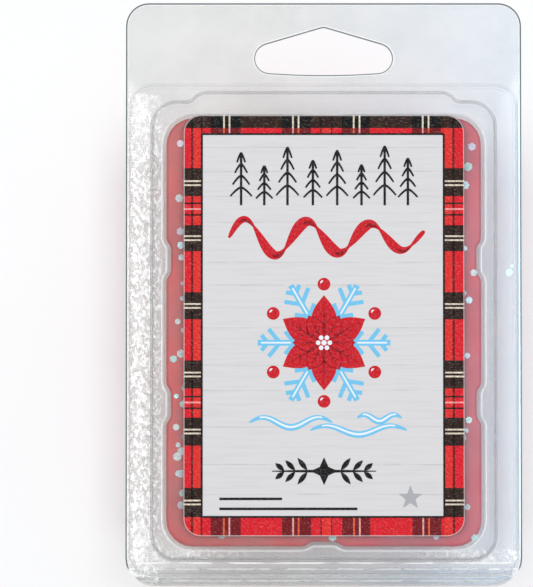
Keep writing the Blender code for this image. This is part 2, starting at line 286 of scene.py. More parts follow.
class Surface:
    """Gathers grids of points, and the faces between them, into one mesh."""

    def __init__(self, *marks: str) -> None:
        """Starts an empty surface.

        Args:
            marks: the names of the numbers that each point carries.
        """
        self.marks = marks
        self.points: list[np.ndarray] = []
        self.values: list[np.ndarray] = []
        self.faces: list[np.ndarray] = []
        self.count = 0

    def grid(
        self, points: np.ndarray, values: np.ndarray | Sequence[float] | float = 0.0, around: bool = True
    ) -> np.ndarray:
        """Adds a grid of four-sided faces.

        Args:
            points: rows by columns by 3. Rows run outside to inside, or low to high, and columns
                anticlockwise, so that the faces point up or out.
            values: rows by columns by marks, or what fits that shape.
            around: whether the last column joins the first.

        Returns:
            The points' numbers, rows by columns.
        """
        rows, columns = points.shape[:2]
        index = self.count + np.arange(rows * columns).reshape(rows, columns)
        here, after = (index, np.roll(index, -1, axis=1)) if around else (index[:, :-1], index[:, 1:])
        self.faces.append(np.stack((here[:-1], after[:-1], after[1:], here[1:]), axis=-1).reshape(-1, 4))
        self.points.append(points.reshape(-1, 3))
        filled = np.broadcast_to(values, (rows, columns, len(self.marks)))
        self.values.append(filled.reshape(rows * columns, -1))
        self.count += rows * columns
        return index

    def wall(self, outline: Outline, profile: np.ndarray, weight: float = 1.0) -> np.ndarray:
        """Carries a profile round an outline.

        Each row of the profile draws the outline in by its first number and lays it at its second. The
        cube of the third, times the weight, is the points' first mark: the painted shade of the bends.

        Args:
            outline: what the profile goes round.
            profile: rows of how far in, how high, and the shade.
            weight: what the shade is multiplied by.

        Returns:
            The points' numbers, rings by columns.
        """
        rings = outline.drawn_in(profile[:, 0])
        values = np.zeros((*rings.shape[:2], len(self.marks)))
        if self.marks:
            values[:, :, 0] = profile[:, 2, None] ** SHADE_POWER * weight
        return self.grid(lifted(rings, profile[:, 1, None, None]), values)

    def level(self, outer: np.ndarray, holes: Sequence[np.ndarray] = (), up: bool = True) -> None:
        """Fills the level ground inside a ring with triangles, and leaves the holes open.

        The fill also closes the holes. A triangle lies in a hole where its corners are all on that
        hole's ring and, taken in the ring's order, run anticlockwise as the ring does.

        Args:
            outer: the points' numbers round the ground.
            holes: the same round each hole.
            up: whether the faces point up.
        """
        rings = [outer, *holes]
        numbers = np.concatenate(rings)
        starts = np.cumsum([0] + [len(ring) for ring in rings])
        edges = np.concatenate(
            [
                start + np.stack((np.arange(len(ring)), np.roll(np.arange(len(ring)), -1)), axis=-1)
                for start, ring in zip(starts, rings)
            ]
        )
        points = np.concatenate(self.points)[numbers, :2]
        flat = [Vector(point) for point in (points / MM).tolist()]
        filled = delaunay_2d_cdt(flat, edges.tolist(), [], INSIDE_TRIANGLES, SAME_PLACE / MM)
        sources = np.array([source[0] for source in filled[3]])
        corners = np.sort(sources[np.array(filled[2])], axis=1)
        ring = np.repeat(np.arange(len(rings)), [len(ring) for ring in rings])[corners]
        same_hole = (ring[:, 0] > 0) & (ring[:, 0] == ring[:, 1]) & (ring[:, 0] == ring[:, 2])
        corners = corners[~(same_hole & (self.turns(points, corners) > 0))]
        wrong = self.turns(points, corners) < 0 if up else self.turns(points, corners) > 0
        corners[wrong] = corners[wrong][:, ::-1]
        self.faces.append(numbers[corners])

    @staticmethod
    def turns(points: np.ndarray, corners: np.ndarray) -> np.ndarray:
        """Twice each triangle's area, above 0 where its corners run anticlockwise: a cross product.

        Args:
            points: points by 2.
            corners: triangles by 3, the points' numbers.

        Returns:
            One number a triangle.
        """
        first, second, third = (points[corners[:, side]] for side in range(3))
        (ax, ay), (bx, by) = (second - first).T, (third - first).T
        return ax * by - ay * bx

    def capped(self, rings: np.ndarray) -> None:
        """Closes a grid's first and last ring with one flat face each."""
        self.faces += [rings[:1, ::-1], rings[-1:]]

    def prisms(self, rings: np.ndarray, values: np.ndarray | float = 0.0) -> None:
        """Adds many small closed prisms at once: sides between two rings, and a flat face on each ring.

        Args:
            rings: prisms by 2 by corners by 3, the lower ring before the upper one, anticlockwise.
            values: each prism's one mark, or one number for all.
        """
        number, _, corners = rings.shape[:3]
        index = self.count + np.arange(number * 2 * corners).reshape(number, 2, corners)
        after = np.roll(index, -1, axis=2)
        sides = np.stack((index[:, 0], after[:, 0], after[:, 1], index[:, 1]), axis=-1)
        self.faces += [sides.reshape(-1, 4), index[:, 1], index[:, 0, ::-1]]
        self.points.append(rings.reshape(-1, 3))
        self.values.append(np.repeat(np.broadcast_to(values, number), 2 * corners)[:, None])
        self.count += index.size

    def build(self, name: str, material: bpy.types.Material) -> bpy.types.Object:
        """Makes the object from everything that was gathered.

        Args:
            name: the piece's name.
            material: its finish.

        Returns:
            The object, shaded smooth.
        """
        mesh = bpy.data.meshes.new(name)
        faces = [face for group in self.faces for face in group.tolist()]
        mesh.from_pydata(np.concatenate(self.points), [], faces)
        values = np.concatenate(self.values)
        for column, mark in enumerate(self.marks):
            layer = mesh.attributes.new(mark, "FLOAT", "POINT")
            layer.data.foreach_set("value", values[:, column].astype(np.float32))
        mesh.materials.append(material)
        mesh.shade_smooth()
        piece = bpy.data.objects.new(name, mesh)
        bpy.context.scene.collection.objects.link(piece)
        return piece


def crease(piece: bpy.types.Object, angle: float) -> None:
    """Keeps the edges sharp where faces meet at more than an angle in degrees."""
    piece.data.set_sharp_from_angle(angle=math.radians(angle))


def point_out(piece: bpy.types.Object) -> None:
    """Points a closed piece's faces outwards.

    Args:
        piece: what is changed.
    """
    bm = bmesh.new()
    bm.from_mesh(piece.data)
    bmesh.ops.recalc_face_normals(bm, faces=bm.faces)
    bm.to_mesh(piece.data)
    bm.free()


def thicken(piece: bpy.types.Object, thickness: float) -> None:
    """Gives an open surface its thickness below itself.

    Args:
        piece: what is changed.
        thickness: how thick it gets.
    """
    solidify = piece.modifiers.new("thickness", "SOLIDIFY")
    solidify.thickness = thickness
    solidify.offset = -1.0
    solidify.use_even_offset = True
    graph = bpy.context.evaluated_depsgraph_get()
    mesh = bpy.data.meshes.new_from_object(piece.evaluated_get(graph))
    piece.modifiers.clear()
    piece.data = mesh


def settle(piece: bpy.types.Object, body: Body, slot: Slot, *nodes: str) -> None:
    """Says what a piece rides on, and which nodes it stands for.

    Args:
        piece: the piece.
        body: the body that it moves with.
        slot: not used.
        nodes: the nodes that it replaces, if any.
    """
    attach(piece, body.value)
    if nodes:
        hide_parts(*nodes)
    LOG.info("%s rides on %s, %d faces", piece.name, body.value, len(piece.data.polygons))


# Finishes

# The screen's curve: a straight start up to a knee, and a power of the shifted share above it
SCREEN_KNEE = 0.04045
SCREEN_SLOPE = 12.92
SCREEN_SHIFT = 0.055
SCREEN_POWER = 2.4


def from_screen(red: int, green: int, blue: int) -> Colour:
    """A screen colour as linear light.

    Args:
        red: from 0 to 255.
        green: from 0 to 255.
        blue: from 0 to 255.

    Returns:
        The three parts from 0 to 1.
    """
    share = np.array((red, green, blue)) / 255
    curved = ((share + SCREEN_SHIFT) / (1 + SCREEN_SHIFT)) ** SCREEN_POWER
    return tuple(float(part) for part in np.where(share <= SCREEN_KNEE, share / SCREEN_SLOPE, curved))


class Graph:
    """A material's nodes, with short ways to add and join them."""

    def __init__(self, name: str) -> None:
        """Starts a material that has only its output.

        Args:
            name: the material's name.
        """
        self.material = bpy.data.materials.new(name)
        self.material.use_nodes = True
        self.tree = self.material.node_tree
        self.tree.nodes.clear()
        self.output = self.tree.nodes.new("ShaderNodeOutputMaterial")

    def add(
        self, kind: str, inputs: dict[int | str, Value] | None = None, **settings: object
    ) -> bpy.types.Node:
        """Adds a node.

        Args:
            kind: the node's type.
            inputs: what each input is joined or set to.
            settings: the node's own settings.

        Returns:
            The node.
        """
        node = self.tree.nodes.new(kind)
        for key, value in settings.items():
            setattr(node, key, value)
        for key, value in (inputs or {}).items():
            self.feed(node.inputs[key], value)
        return node

    def feed(self, socket: Socket, value: Value) -> None:
        """Joins an input to another node's result, or sets it.

        Args:
            socket: the input.
            value: a result to join, or a number or colour.
        """
        if isinstance(value, Socket):
            self.tree.links.new(value, socket)
        elif isinstance(value, tuple) and len(value) == 3 and socket.type == "RGBA":
            socket.default_value = (*value, 1.0)
        else:
            socket.default_value = value

    def calc(self, operation: str, *values: Value, clamp: bool = False) -> Socket:
        """One Math node's result."""
        inputs = dict(enumerate(values))
        return self.add("ShaderNodeMath", inputs, operation=operation, use_clamp=clamp).outputs[0]

    def plus(self, first: Value, *others: Value) -> Value:
        """The sum of several numbers.

        Args:
            first: a number.
            others: the numbers added to it in turn.

        Returns:
            The sum.
        """
        for other in others:
            first = self.calc("ADD", first, other)
        return first

    def times(self, first: Value, *others: Value) -> Value:
        """The product of several numbers.

        Args:
            first: a number.
            others: the numbers that it is multiplied by in turn.

        Returns:
            The product.
        """
        for other in others:
            first = self.calc("MULTIPLY", first, other)
        return first

    def mix(self, share: Value, first: Value, second: Value, blend: str = "MIX") -> Socket:
        """One colour mixed with another.

        Args:
            share: how much of the second, from 0 to 1.
            first: a colour.
            second: another.
            blend: how they are mixed.

        Returns:
            The mixed colour.
        """
        node = self.add("ShaderNodeMix", data_type="RGBA", blend_type=blend, clamp_factor=True)
        for number, value in ((0, share), (6, first), (7, second)):
            self.feed(node.inputs[number], value)
        return node.outputs[2]

    def grey(self, value: Value) -> Socket:
        """A number as a grey colour."""
        return self.add("ShaderNodeCombineColor", {0: value, 1: value, 2: value}).outputs[0]

    def place(self) -> Socket:
        """Where a point is, in millimetres.

        Returns:
            The vector.
        """
        inputs = {0: self.add("ShaderNodeTexCoord").outputs["Object"], "Scale": 1 / MM}
        return self.add("ShaderNodeVectorMath", operation="SCALE", inputs=inputs).outputs[0]

    def parts(self, vector: Socket) -> bpy.types.NodeOutputs:
        """A vector's three parts."""
        return self.add("ShaderNodeSeparateXYZ", {0: vector}).outputs

    def stretched(self, vector: Socket, scale: Point, turn: float = 0.0) -> Socket:
        """A vector scaled along each axis, after a turn about Z.

        Args:
            vector: the vector.
            scale: what each part is multiplied by.
            turn: in degrees.

        Returns:
            The new vector.
        """
        inputs = {"Vector": vector, "Scale": scale, "Rotation": (0.0, 0.0, math.radians(turn))}
        return self.add("ShaderNodeMapping", inputs).outputs[0]

    def noise(self, vector: Socket, scale: float, detail: float = 2.0, rough: float = 0.5) -> Socket:
        """Soft noise from 0 to 1.

        Args:
            vector: where it is taken.
            scale: in waves a millimetre.
            detail: how many finer layers are added.
            rough: how strong each is next to the one before.

        Returns:
            The number.
        """
        inputs = {"Vector": vector, "Scale": scale, "Detail": detail, "Roughness": rough}
        return self.add("ShaderNodeTexNoise", inputs).outputs[0]

    def span(
        self, value: Value, low: float, high: float, to_low: float = 0.0, to_high: float = 1.0
    ) -> Socket:
        """A number's range moved to another one, and held there."""
        inputs = {"Value": value, "From Min": low, "From Max": high, "To Min": to_low, "To Max": to_high}
        return self.add("ShaderNodeMapRange", inputs, clamp=True).outputs[0]

    def bands(self, value: Value, stops: Sequence[tuple[float, Colour]]) -> Socket:
        """Bands of colour along a number from 0 to 1.

        Args:
            value: the number.
            stops: where each band starts and its colour, the first at 0.

        Returns:
            The colour.
        """
        ramp = self.add("ShaderNodeValToRGB", {0: value})
        ramp.color_ramp.interpolation = "CONSTANT"
        elements = ramp.color_ramp.elements
        elements.remove(elements[1])
        for number, (start, colour) in enumerate(stops):
            element = elements[0] if number == 0 else elements.new(start)
            element.position = start
            element.color = (*colour, 1.0)
        return ramp.outputs[0]

    def mark(self, name: str) -> Socket:
        """A number that the mesh carries."""
        return self.add("ShaderNodeAttribute", attribute_name=name).outputs["Fac"]

    def bump(self, height: Value, depth: float, strength: float) -> Socket:
        """A bumped normal. depth is the relief's full depth in metres."""
        inputs = {"Height": height, "Distance": depth, "Strength": strength}
        return self.add("ShaderNodeBump", inputs).outputs[0]

    def principled(self, **inputs: Value) -> bpy.types.Material:
        """Ends the tree with one Principled shader.

        Args:
            inputs: its inputs, with underscores for the spaces in their names.

        Returns:
            The material.
        """
        named = {key.replace("_", " "): value for key, value in inputs.items()}
        shader = self.add("ShaderNodeBsdfPrincipled", named)
        self.tree.links.new(shader.outputs[0], self.output.inputs["Surface"])
        return self.material


@dataclass(frozen=True)
class ClearSheet:
    """Clear thermoformed plastic: a little hazy when level, with painted shade on its walls and a painted
    dark line and painted highlight at its cut edge.

    The haze is how much a level face hides, and painted_wall_shade how much a wall hides: a painted
    shade, stronger where the wall is seen edge on. The lines are a painted dark line along the trimmed
    edge and a painted highlight just inside it, where the cut edge would gather light. A span says where
    something starts and where it is full: in millimetres along X or Y, or as a share.
    """

    name: str
    haze: float = 0.10
    haze_cloud: Span = (0.80, 1.22)
    # A painted shade on the walls: how much a wall hides, from seen face on to seen edge on.
    painted_wall_shade: float = 0.62
    wall_seen: Span = (0.2, 0.65)
    wall_from_front: float = 0.15
    fold_haze: float = 0.10
    fold_span: Span = (-49.0, -51.5)
    glance_sheen: float = 0.18
    # A painted sheen at shallow angles, in the sheet's own colour.
    glance_power: float = 3.0
    facing_blend: float = 0.35
    # A painted dark line along the trimmed edge, and a painted highlight just inside it that fades near the
    # fold.
    dark_line: float = 0.80
    dark_span: Span = (0.48, 0.56)
    bright_line: float = 0.50
    bright_span: Span = (0.08, 0.18)
    bright_from_fold: Span = (-49.5, -47.0)
    # Painted sparkle highlights: bright flecks where the rough sheet catches light.
    fleck_highlight: float = 0.36
    fleck_grain: Span = (0.54, 0.60)
    fleck_level: Span = (0.3, 0.95)
    fleck_left: Span = (-28.7, -30.0)
    fleck_rim: Span = (-31.4, -32.0)
    fleck_top: Span = (37.0, 35.5)
    fleck_low: Span = (-45.8, -47.0)
    fleck_corner: Span = (12.0, 26.0)
    fleck_fold: Span = (-49.2, -48.4)
    # Painted highlights on the fold's ridges, in broken dashes.
    dash_highlight: float = 0.45
    dash_half: float = 0.13
    dash_grain: Span = (0.44, 0.56)
    dash_rows: tuple[Span, ...] = ((-48.9, 0.12), (-50.0, 0.30), (-51.2, 0.22), (-52.15, 0.16))
    # The colour runs from grey on the left to blue on the right: partly the sheet's own tint and partly a
    # painted reflection.
    tint_and_reflection_span: Span = (-10.0, 34.0)
    left: Colour = (0.42, 0.44, 0.42)
    right: Colour = (0.42, 0.54, 0.66)
    # The grey of the painted wall shade, the near black of the painted edge line, and the white of the
    # painted highlights.
    wall: Colour = (0.22, 0.225, 0.24)
    edge: Colour = (0.12, 0.14, 0.15)
    white: Colour = (0.93, 0.93, 0.92)
    gloss: Span = (0.5, 0.08)

    def material(self) -> bpy.types.Material:
        """Builds the material.

        What it hides is the sum of the haze, the painted wall shade, the two painted edge lines, the painted
        sparkle highlights and the painted sheen at a shallow angle. The colour goes from left to right, and
        then to white where highlights are painted and to grey and near black where shade is painted.

        Returns:
            The material.
        """
        graph = Graph(self.name)
        place = graph.place()
        across, along = graph.parts(place)[:2]
        tilt, edge = graph.mark("tilt"), graph.mark("edge")
        # near is the painted highlight just inside the cut edge, and cut the painted dark line along it.
        near, cut = graph.span(edge, *self.bright_span), graph.span(edge, *self.dark_span)
        cloud = graph.span(graph.noise(place, 0.10, 3.0), 0.3, 0.7, *self.haze_cloud)
        haze = graph.times(cloud, graph.span(along, *self.fold_span, self.haze, self.haze + self.fold_haze))
        facing = graph.add("ShaderNodeLayerWeight", {"Blend": self.facing_blend}).outputs["Facing"]
        # Painted shade on the walls, stronger where a wall is seen edge on.
        wall = graph.span(facing, *self.wall_seen, self.wall_from_front, self.painted_wall_shade)
        bright = graph.span(along, *self.bright_from_fold, 0.0, self.bright_line)
        sparkle_highlights = self.sparkle_highlights(graph, place)
        haze_and_wall_shade = graph.plus(haze, graph.times(tilt, wall))
        lines = graph.plus(
            graph.times(cut, self.dark_line), graph.times(graph.calc("SUBTRACT", near, cut), bright)
        )
        hidden = graph.plus(haze_and_wall_shade, lines, sparkle_highlights)
        # The painted sheen at shallow angles.
        glance = graph.times(graph.calc("POWER", facing, self.glance_power), self.glance_sheen)
        colour = graph.mix(graph.span(across, *self.tint_and_reflection_span), self.left, self.right)
        # The colour goes to white on the painted sparkle highlights and edge highlight, to grey on the
        # painted wall shade, and to near black on the painted edge line.
        for share, shade in (
            (graph.span(sparkle_highlights, 0.02, 0.2), self.white),
            (graph.span(tilt, 0.0, 0.5), self.wall),
            (near, self.white),
            (cut, self.edge),
        ):
            colour = graph.mix(share, colour, shade)
        ripple = graph.plus(graph.noise(place, 0.30), graph.times(graph.noise(place, 1.6), 0.012))
        return graph.principled(
            Base_Color=colour,
            Roughness=0.09,
            IOR=2.0,
            Specular_IOR_Level=graph.span(edge, *self.dark_span, *self.gloss),
            Alpha=graph.calc("ADD", hidden, glance, clamp=True),
            Normal=graph.bump(ripple, 0.05 * MM, 0.30),
        )

    def sparkle_highlights(self, graph: Graph, place: Socket) -> Value:
        """Painted sparkle highlights: fine bright flecks near the left side and the bottom, where the sheet
        was drawn most and its rough skin catches light.

        A fleck shows where a fine noise is high, and fewer of them show on a steep face. Rows of broken
        dashes of painted highlight run along the fold's ridges: a thin line times a noise that is drawn out
        along it.

        Args:
            graph: the material's nodes.
            place: where a point is.

        Returns:
            How much the flecks and dashes hide.
        """
        across, along = graph.parts(place)[:2]
        normal = graph.add("ShaderNodeNewGeometry").outputs["Normal"]
        level = graph.span(graph.calc("ABSOLUTE", graph.parts(normal)[2]), *self.fleck_level, 0.10, 1.0)
        near_left = graph.times(graph.span(across, *self.fleck_left), graph.span(along, *self.fleck_top))
        near_bottom = graph.times(
            graph.span(along, *self.fleck_low),
            graph.span(graph.calc("ABSOLUTE", across), *self.fleck_corner, 0.15, 0.9),
            graph.span(along, *self.fleck_fold, 0.25, 1.0),
        )
        grain = graph.noise(graph.stretched(place, (1.0, 0.7, 1.0)), 1.5, 2.0, 0.7)
        grain = graph.plus(grain, graph.span(across, *self.fleck_rim, 0.0, 0.03))
        where = graph.calc("MAXIMUM", near_left, near_bottom)
        flecks = graph.times(where, level, graph.span(grain, *self.fleck_grain), self.fleck_highlight)
        dashes: Value = 0.0
        for middle, scale in self.dash_rows:
            line = graph.calc("COMPARE", along, middle, self.dash_half)
            broken = graph.noise(graph.stretched(place, (scale, 0.9, 0.0)), 1.0)
            dashes = graph.plus(dashes, graph.times(line, graph.span(broken, *self.dash_grain, 0.1, 1.0)))
        return graph.plus(flecks, graph.times(dashes, self.dash_highlight))


@dataclass(frozen=True)
class Wax:
    """Poured red wax: deep colour, a soft waxy gloss, and a slightly uneven skin."""

    colour: Colour = (0.610, 0.0048, 0.013)
    deep: Colour = (0.43, 0.003, 0.009)
    roughness: Span = (0.34, 0.46)
    glow: float = 0.15
    glow_reach: Point = (2.0 * MM, 0.4 * MM, 0.3 * MM)
    relief: float = 0.35 * MM

    def material(self) -> bpy.types.Material:
        """Builds the material: slow clouds of the deeper red, and broad and fine dimples.

        Returns:
            The material.
        """
        graph = Graph("red_wax_skin")
        place = graph.place()
        cloud = graph.span(graph.noise(place, 0.09, 3.0), 0.35, 0.7)
        skin = graph.plus(graph.noise(place, 0.25), graph.times(graph.noise(place, 2.5), 0.12))
        return graph.principled(
            Base_Color=graph.mix(cloud, self.colour, self.deep),
            Roughness=graph.span(graph.noise(place, 0.8), 0.3, 0.7, *self.roughness),
            Subsurface_Weight=self.glow,
            Subsurface_Radius=self.glow_reach,
            Subsurface_Scale=1.0,
            Specular_IOR_Level=0.45,
            Normal=graph.bump(skin, self.relief, 0.6),
        )


@dataclass(frozen=True)
class Glitter:
    """Flat shining flakes in silver, mint, lilac and grey. shades says where each starts."""

    shades: tuple[tuple[float, Colour], ...] = (
        (0.0, (0.76, 0.82, 0.81)),
        (0.45, (0.56, 0.78, 0.73)),
        (0.68, (0.72, 0.67, 0.82)),
        (0.86, (0.46, 0.54, 0.54)),
    )

    def material(self) -> bpy.types.Material:
        """Builds the material: each flake's own shade, times a fine sparkle.

        Returns:
            The material.
        """
        graph = Graph("pale_glitter")
        shade = graph.bands(graph.mark("shade"), self.shades)
        spark = graph.grey(graph.span(graph.noise(graph.place(), 3.0), 0.4, 0.6, 0.75, 1.0))
        return graph.principled(
            Base_Color=graph.mix(1.0, shade, spark, "MULTIPLY"), Metallic=0.25, Roughness=0.22
        )


class Ink(Enum):
    """The label's inks, as screen colours."""

    GREY = (168, 168, 172)
    SKY = (112, 190, 228)
    RED = (196, 22, 36)
    DEEP = (140, 10, 24)
    PALE = (226, 234, 240)
    BLACK = (16, 15, 17)


@dataclass(frozen=True)
class Print:
    """One ink on the label, with the slight mottle of toner."""

    ink: Ink
    fade: float = 0.05

    def material(self) -> bpy.types.Material:
        """Builds the material.

        Returns:
            The material.
        """
        graph = Graph(f"ink_{self.ink.name.lower()}")
        colour = from_screen(*self.ink.value)
        lighter = tuple(part + (1 - part) * self.fade for part in colour)
        mottle = graph.span(graph.noise(graph.place(), 2.2, 3.0), 0.45, 0.75)
        return graph.principled(
            Base_Color=graph.mix(mottle, colour, lighter), Roughness=0.6, Specular_IOR_Level=0.1
        )


@dataclass(frozen=True)
class Plaid:
    """The label's ground: a woven plaid round the edge, and a panel of pale planks.

    weft gives where each band along Y starts and ends, and warp the same along X, in millimetres.
    Where only middles are given, a thin line reaches as far as line says to each side of them.
    """

    panel: tuple[float, float, float, float] = (-22.1, 21.7, -40.45, 28.8)
    red: Colour = from_screen(212, 30, 44)
    orange: Colour = from_screen(224, 58, 46)
    brown: Colour = from_screen(46, 28, 24)
    maroon: Colour = from_screen(112, 22, 30)
    black: Colour = from_screen(10, 13, 15)
    cream: Colour = from_screen(240, 224, 204)
    amber: Colour = from_screen(240, 104, 64)
    rose: Colour = from_screen(244, 170, 170)
    white: Colour = from_screen(213, 211, 212)
    grain: Colour = from_screen(150, 150, 154)
    dark_weft: tuple[Span, ...] = (
        (-40.49, -35.23),
        (-27.61, -22.53),
        (-21.0, -20.7),
        (-18.9, -18.6),
        (-17.27, -12.20),
        (-4.76, 0.14),
        (7.57, 12.29),
        (14.0, 14.3),
        (16.1, 16.4),
        (17.55, 22.63),
        (29.9, 32.4),
    )
    cream_weft: tuple[float, ...] = (
        -38.2, -37.5, -25.4, -24.7, -15.1, -14.4, -2.7, -2.0, 9.57, 10.29, 19.54, 20.27,
    )
    rose_weft: tuple[float, ...] = (-19.8, 15.2)
    dark_warp: tuple[Span, ...] = (
        (-24.05, -23.65),
        (-22.3, -22.0),
        (-20.5, -15.05),
        (-7.6, -2.36),
        (-0.65, -0.40),
        (1.25, 1.50),
        (3.26, 8.34),
        (15.96, 21.2),
        (23.25, 23.65),
    )
    bright_warp: tuple[Span, ...] = ((-23.65, -22.3), (-0.40, 1.25), (21.7, 23.25))
    amber_warp: tuple[float, ...] = (-18.1, -4.6, 5.4, 18.95)
    rose_warp: tuple[float, ...] = (-17.1, -5.6, 6.45, 17.9)
    line: float = 0.15
    bright_share: float = 0.55
    line_wear: Span = (0.62, 0.95)
    lint_share: float = 0.16
    planks: tuple[float, ...] = (
        26.36, 22.03, 17.51, 12.83, 5.54, 1.41, -6.3, -13.1, -17.6, -24.2, -31.0, -36.4,
    )
    joint: float = 0.11
    joint_wear: Span = (0.05, 0.30)
    grain_share: float = 0.16
    # How far the colour goes towards white at the cut edge.
    edge_white: float = 0.55

    def within(self, graph: Graph, value: Value, bands: Sequence[Span]) -> Value:
        """1 in any of several bands along a number, and 0 between them: a sum of comparisons.

        Args:
            graph: the material's nodes.
            value: the number.
            bands: where each starts and ends.

        Returns:
            The share.
        """
        return graph.plus(
            0.0, *(graph.calc("COMPARE", value, (start + end) / 2, (end - start) / 2) for start, end in bands)
        )

    def lines(self, middles: Sequence[float]) -> list[Span]:
        """The band that each thin line takes."""
        return [(middle - self.line, middle + self.line) for middle in middles]

    def material(self) -> bpy.types.Material:
        """Builds the material: the cloth, the planks on the panel, and a colour going towards white at the
        cut edge.

        Returns:
            The material.
        """
        graph = Graph("label_ground")
        place = graph.place()
        across, along = graph.parts(place)[:2]
        cloth, planks = self.woven(graph, place, across, along), self.planked(graph, place, along)
        colour = graph.mix(self.on_panel(graph, across, along), cloth, planks)
        return graph.principled(
            Base_Color=graph.mix(graph.times(graph.mark("edge"), self.edge_white), colour, self.white),
            Roughness=0.6,
            Specular_IOR_Level=0.1,
            Normal=graph.bump(graph.noise(place, 1.4), 0.02 * MM, 0.4),
        )

    def woven(self, graph: Graph, place: Socket, across: Value, along: Value) -> Socket:
        """The plaid: dark bands both ways, darker where they cross, thin worn lines, thread and lint.

        Args:
            graph: the material's nodes.
            place: where a point is.
            across: its X.
            along: its Y.

        Returns:
            The colour.
        """
        weft = self.within(graph, along, self.dark_weft)
        warp = self.within(graph, across, self.dark_warp)
        bright = graph.times(self.within(graph, across, self.bright_warp), self.bright_share)
        red = graph.mix(bright, self.red, self.orange)
        cloth = graph.mix(warp, graph.mix(weft, red, self.brown), graph.mix(weft, self.maroon, self.black))
        uneven = graph.span(graph.noise(place, 1.9, 2.0, 0.7), 0.35, 0.65, *self.line_wear)
        for value, middles, colour in (
            (along, self.cream_weft, self.cream),
            (along, self.rose_weft, self.rose),
            (across, self.amber_warp, graph.mix(weft, self.amber, self.cream)),
            (across, self.rose_warp, graph.mix(weft, self.rose, self.cream)),
        ):
            drawn = graph.times(self.within(graph, value, self.lines(middles)), uneven)
            cloth = graph.mix(drawn, cloth, colour)
        wave = {"wave_type": "BANDS", "bands_direction": "DIAGONAL", "wave_profile": "SIN"}
        twill = graph.add("ShaderNodeTexWave", {"Vector": place, "Scale": 0.62}, **wave).outputs["Fac"]
        fuzz = graph.span(graph.noise(place, 3.0, 3.0, 0.7), 0.3, 0.7, 0.64, 1.30)
        thread = graph.times(graph.span(twill, 0.0, 1.0, 0.92, 1.06), fuzz)
        cloth = graph.mix(1.0, cloth, graph.grey(thread), "MULTIPLY")
        hairs = graph.noise(graph.stretched(place, (1.0, 2.2, 1.0), 35.0), 2.4, 2.0, 0.7)
        return graph.mix(graph.span(hairs, 0.55, 0.75, 0.0, self.lint_share), cloth, self.cream)

    def on_panel(self, graph: Graph, across: Value, along: Value) -> Value:
        """1 on the plank panel and 0 off it: the product of four comparisons.

        Args:
            graph: the material's nodes.
            across: a point's X.
            along: its Y.

        Returns:
            The share.
        """
        left, right, low, high = self.panel
        return graph.times(
            graph.calc("GREATER_THAN", across, left),
            graph.calc("LESS_THAN", across, right),
            graph.calc("GREATER_THAN", along, low),
            graph.calc("LESS_THAN", along, high),
        )

    def planked(self, graph: Graph, place: Socket, along: Value) -> Socket:
        """Pale boards: a thin worn joint at each plank's edge, and grain drawn out along X.

        Args:
            graph: the material's nodes.
            place: where a point is.
            along: its Y.

        Returns:
            The colour.
        """
        grain = graph.noise(graph.stretched(place, (0.12, 2.4, 1.0)), 1.0, 4.0)
        grain = graph.span(grain, 0.45, 0.8, 0.0, self.grain_share)
        worn = graph.noise(graph.stretched(place, (0.25, 0.05, 1.0)), 1.0)
        worn = graph.span(worn, 0.35, 0.65, *self.joint_wear)
        near = (graph.calc("COMPARE", along, middle, self.joint) for middle in self.planks)
        joints = graph.plus(0.0, *near)
        grey = graph.calc("ADD", grain, graph.times(joints, worn), clamp=True)
        return graph.mix(grey, self.white, self.grain)


# The clear sheet: tray, lid and fold


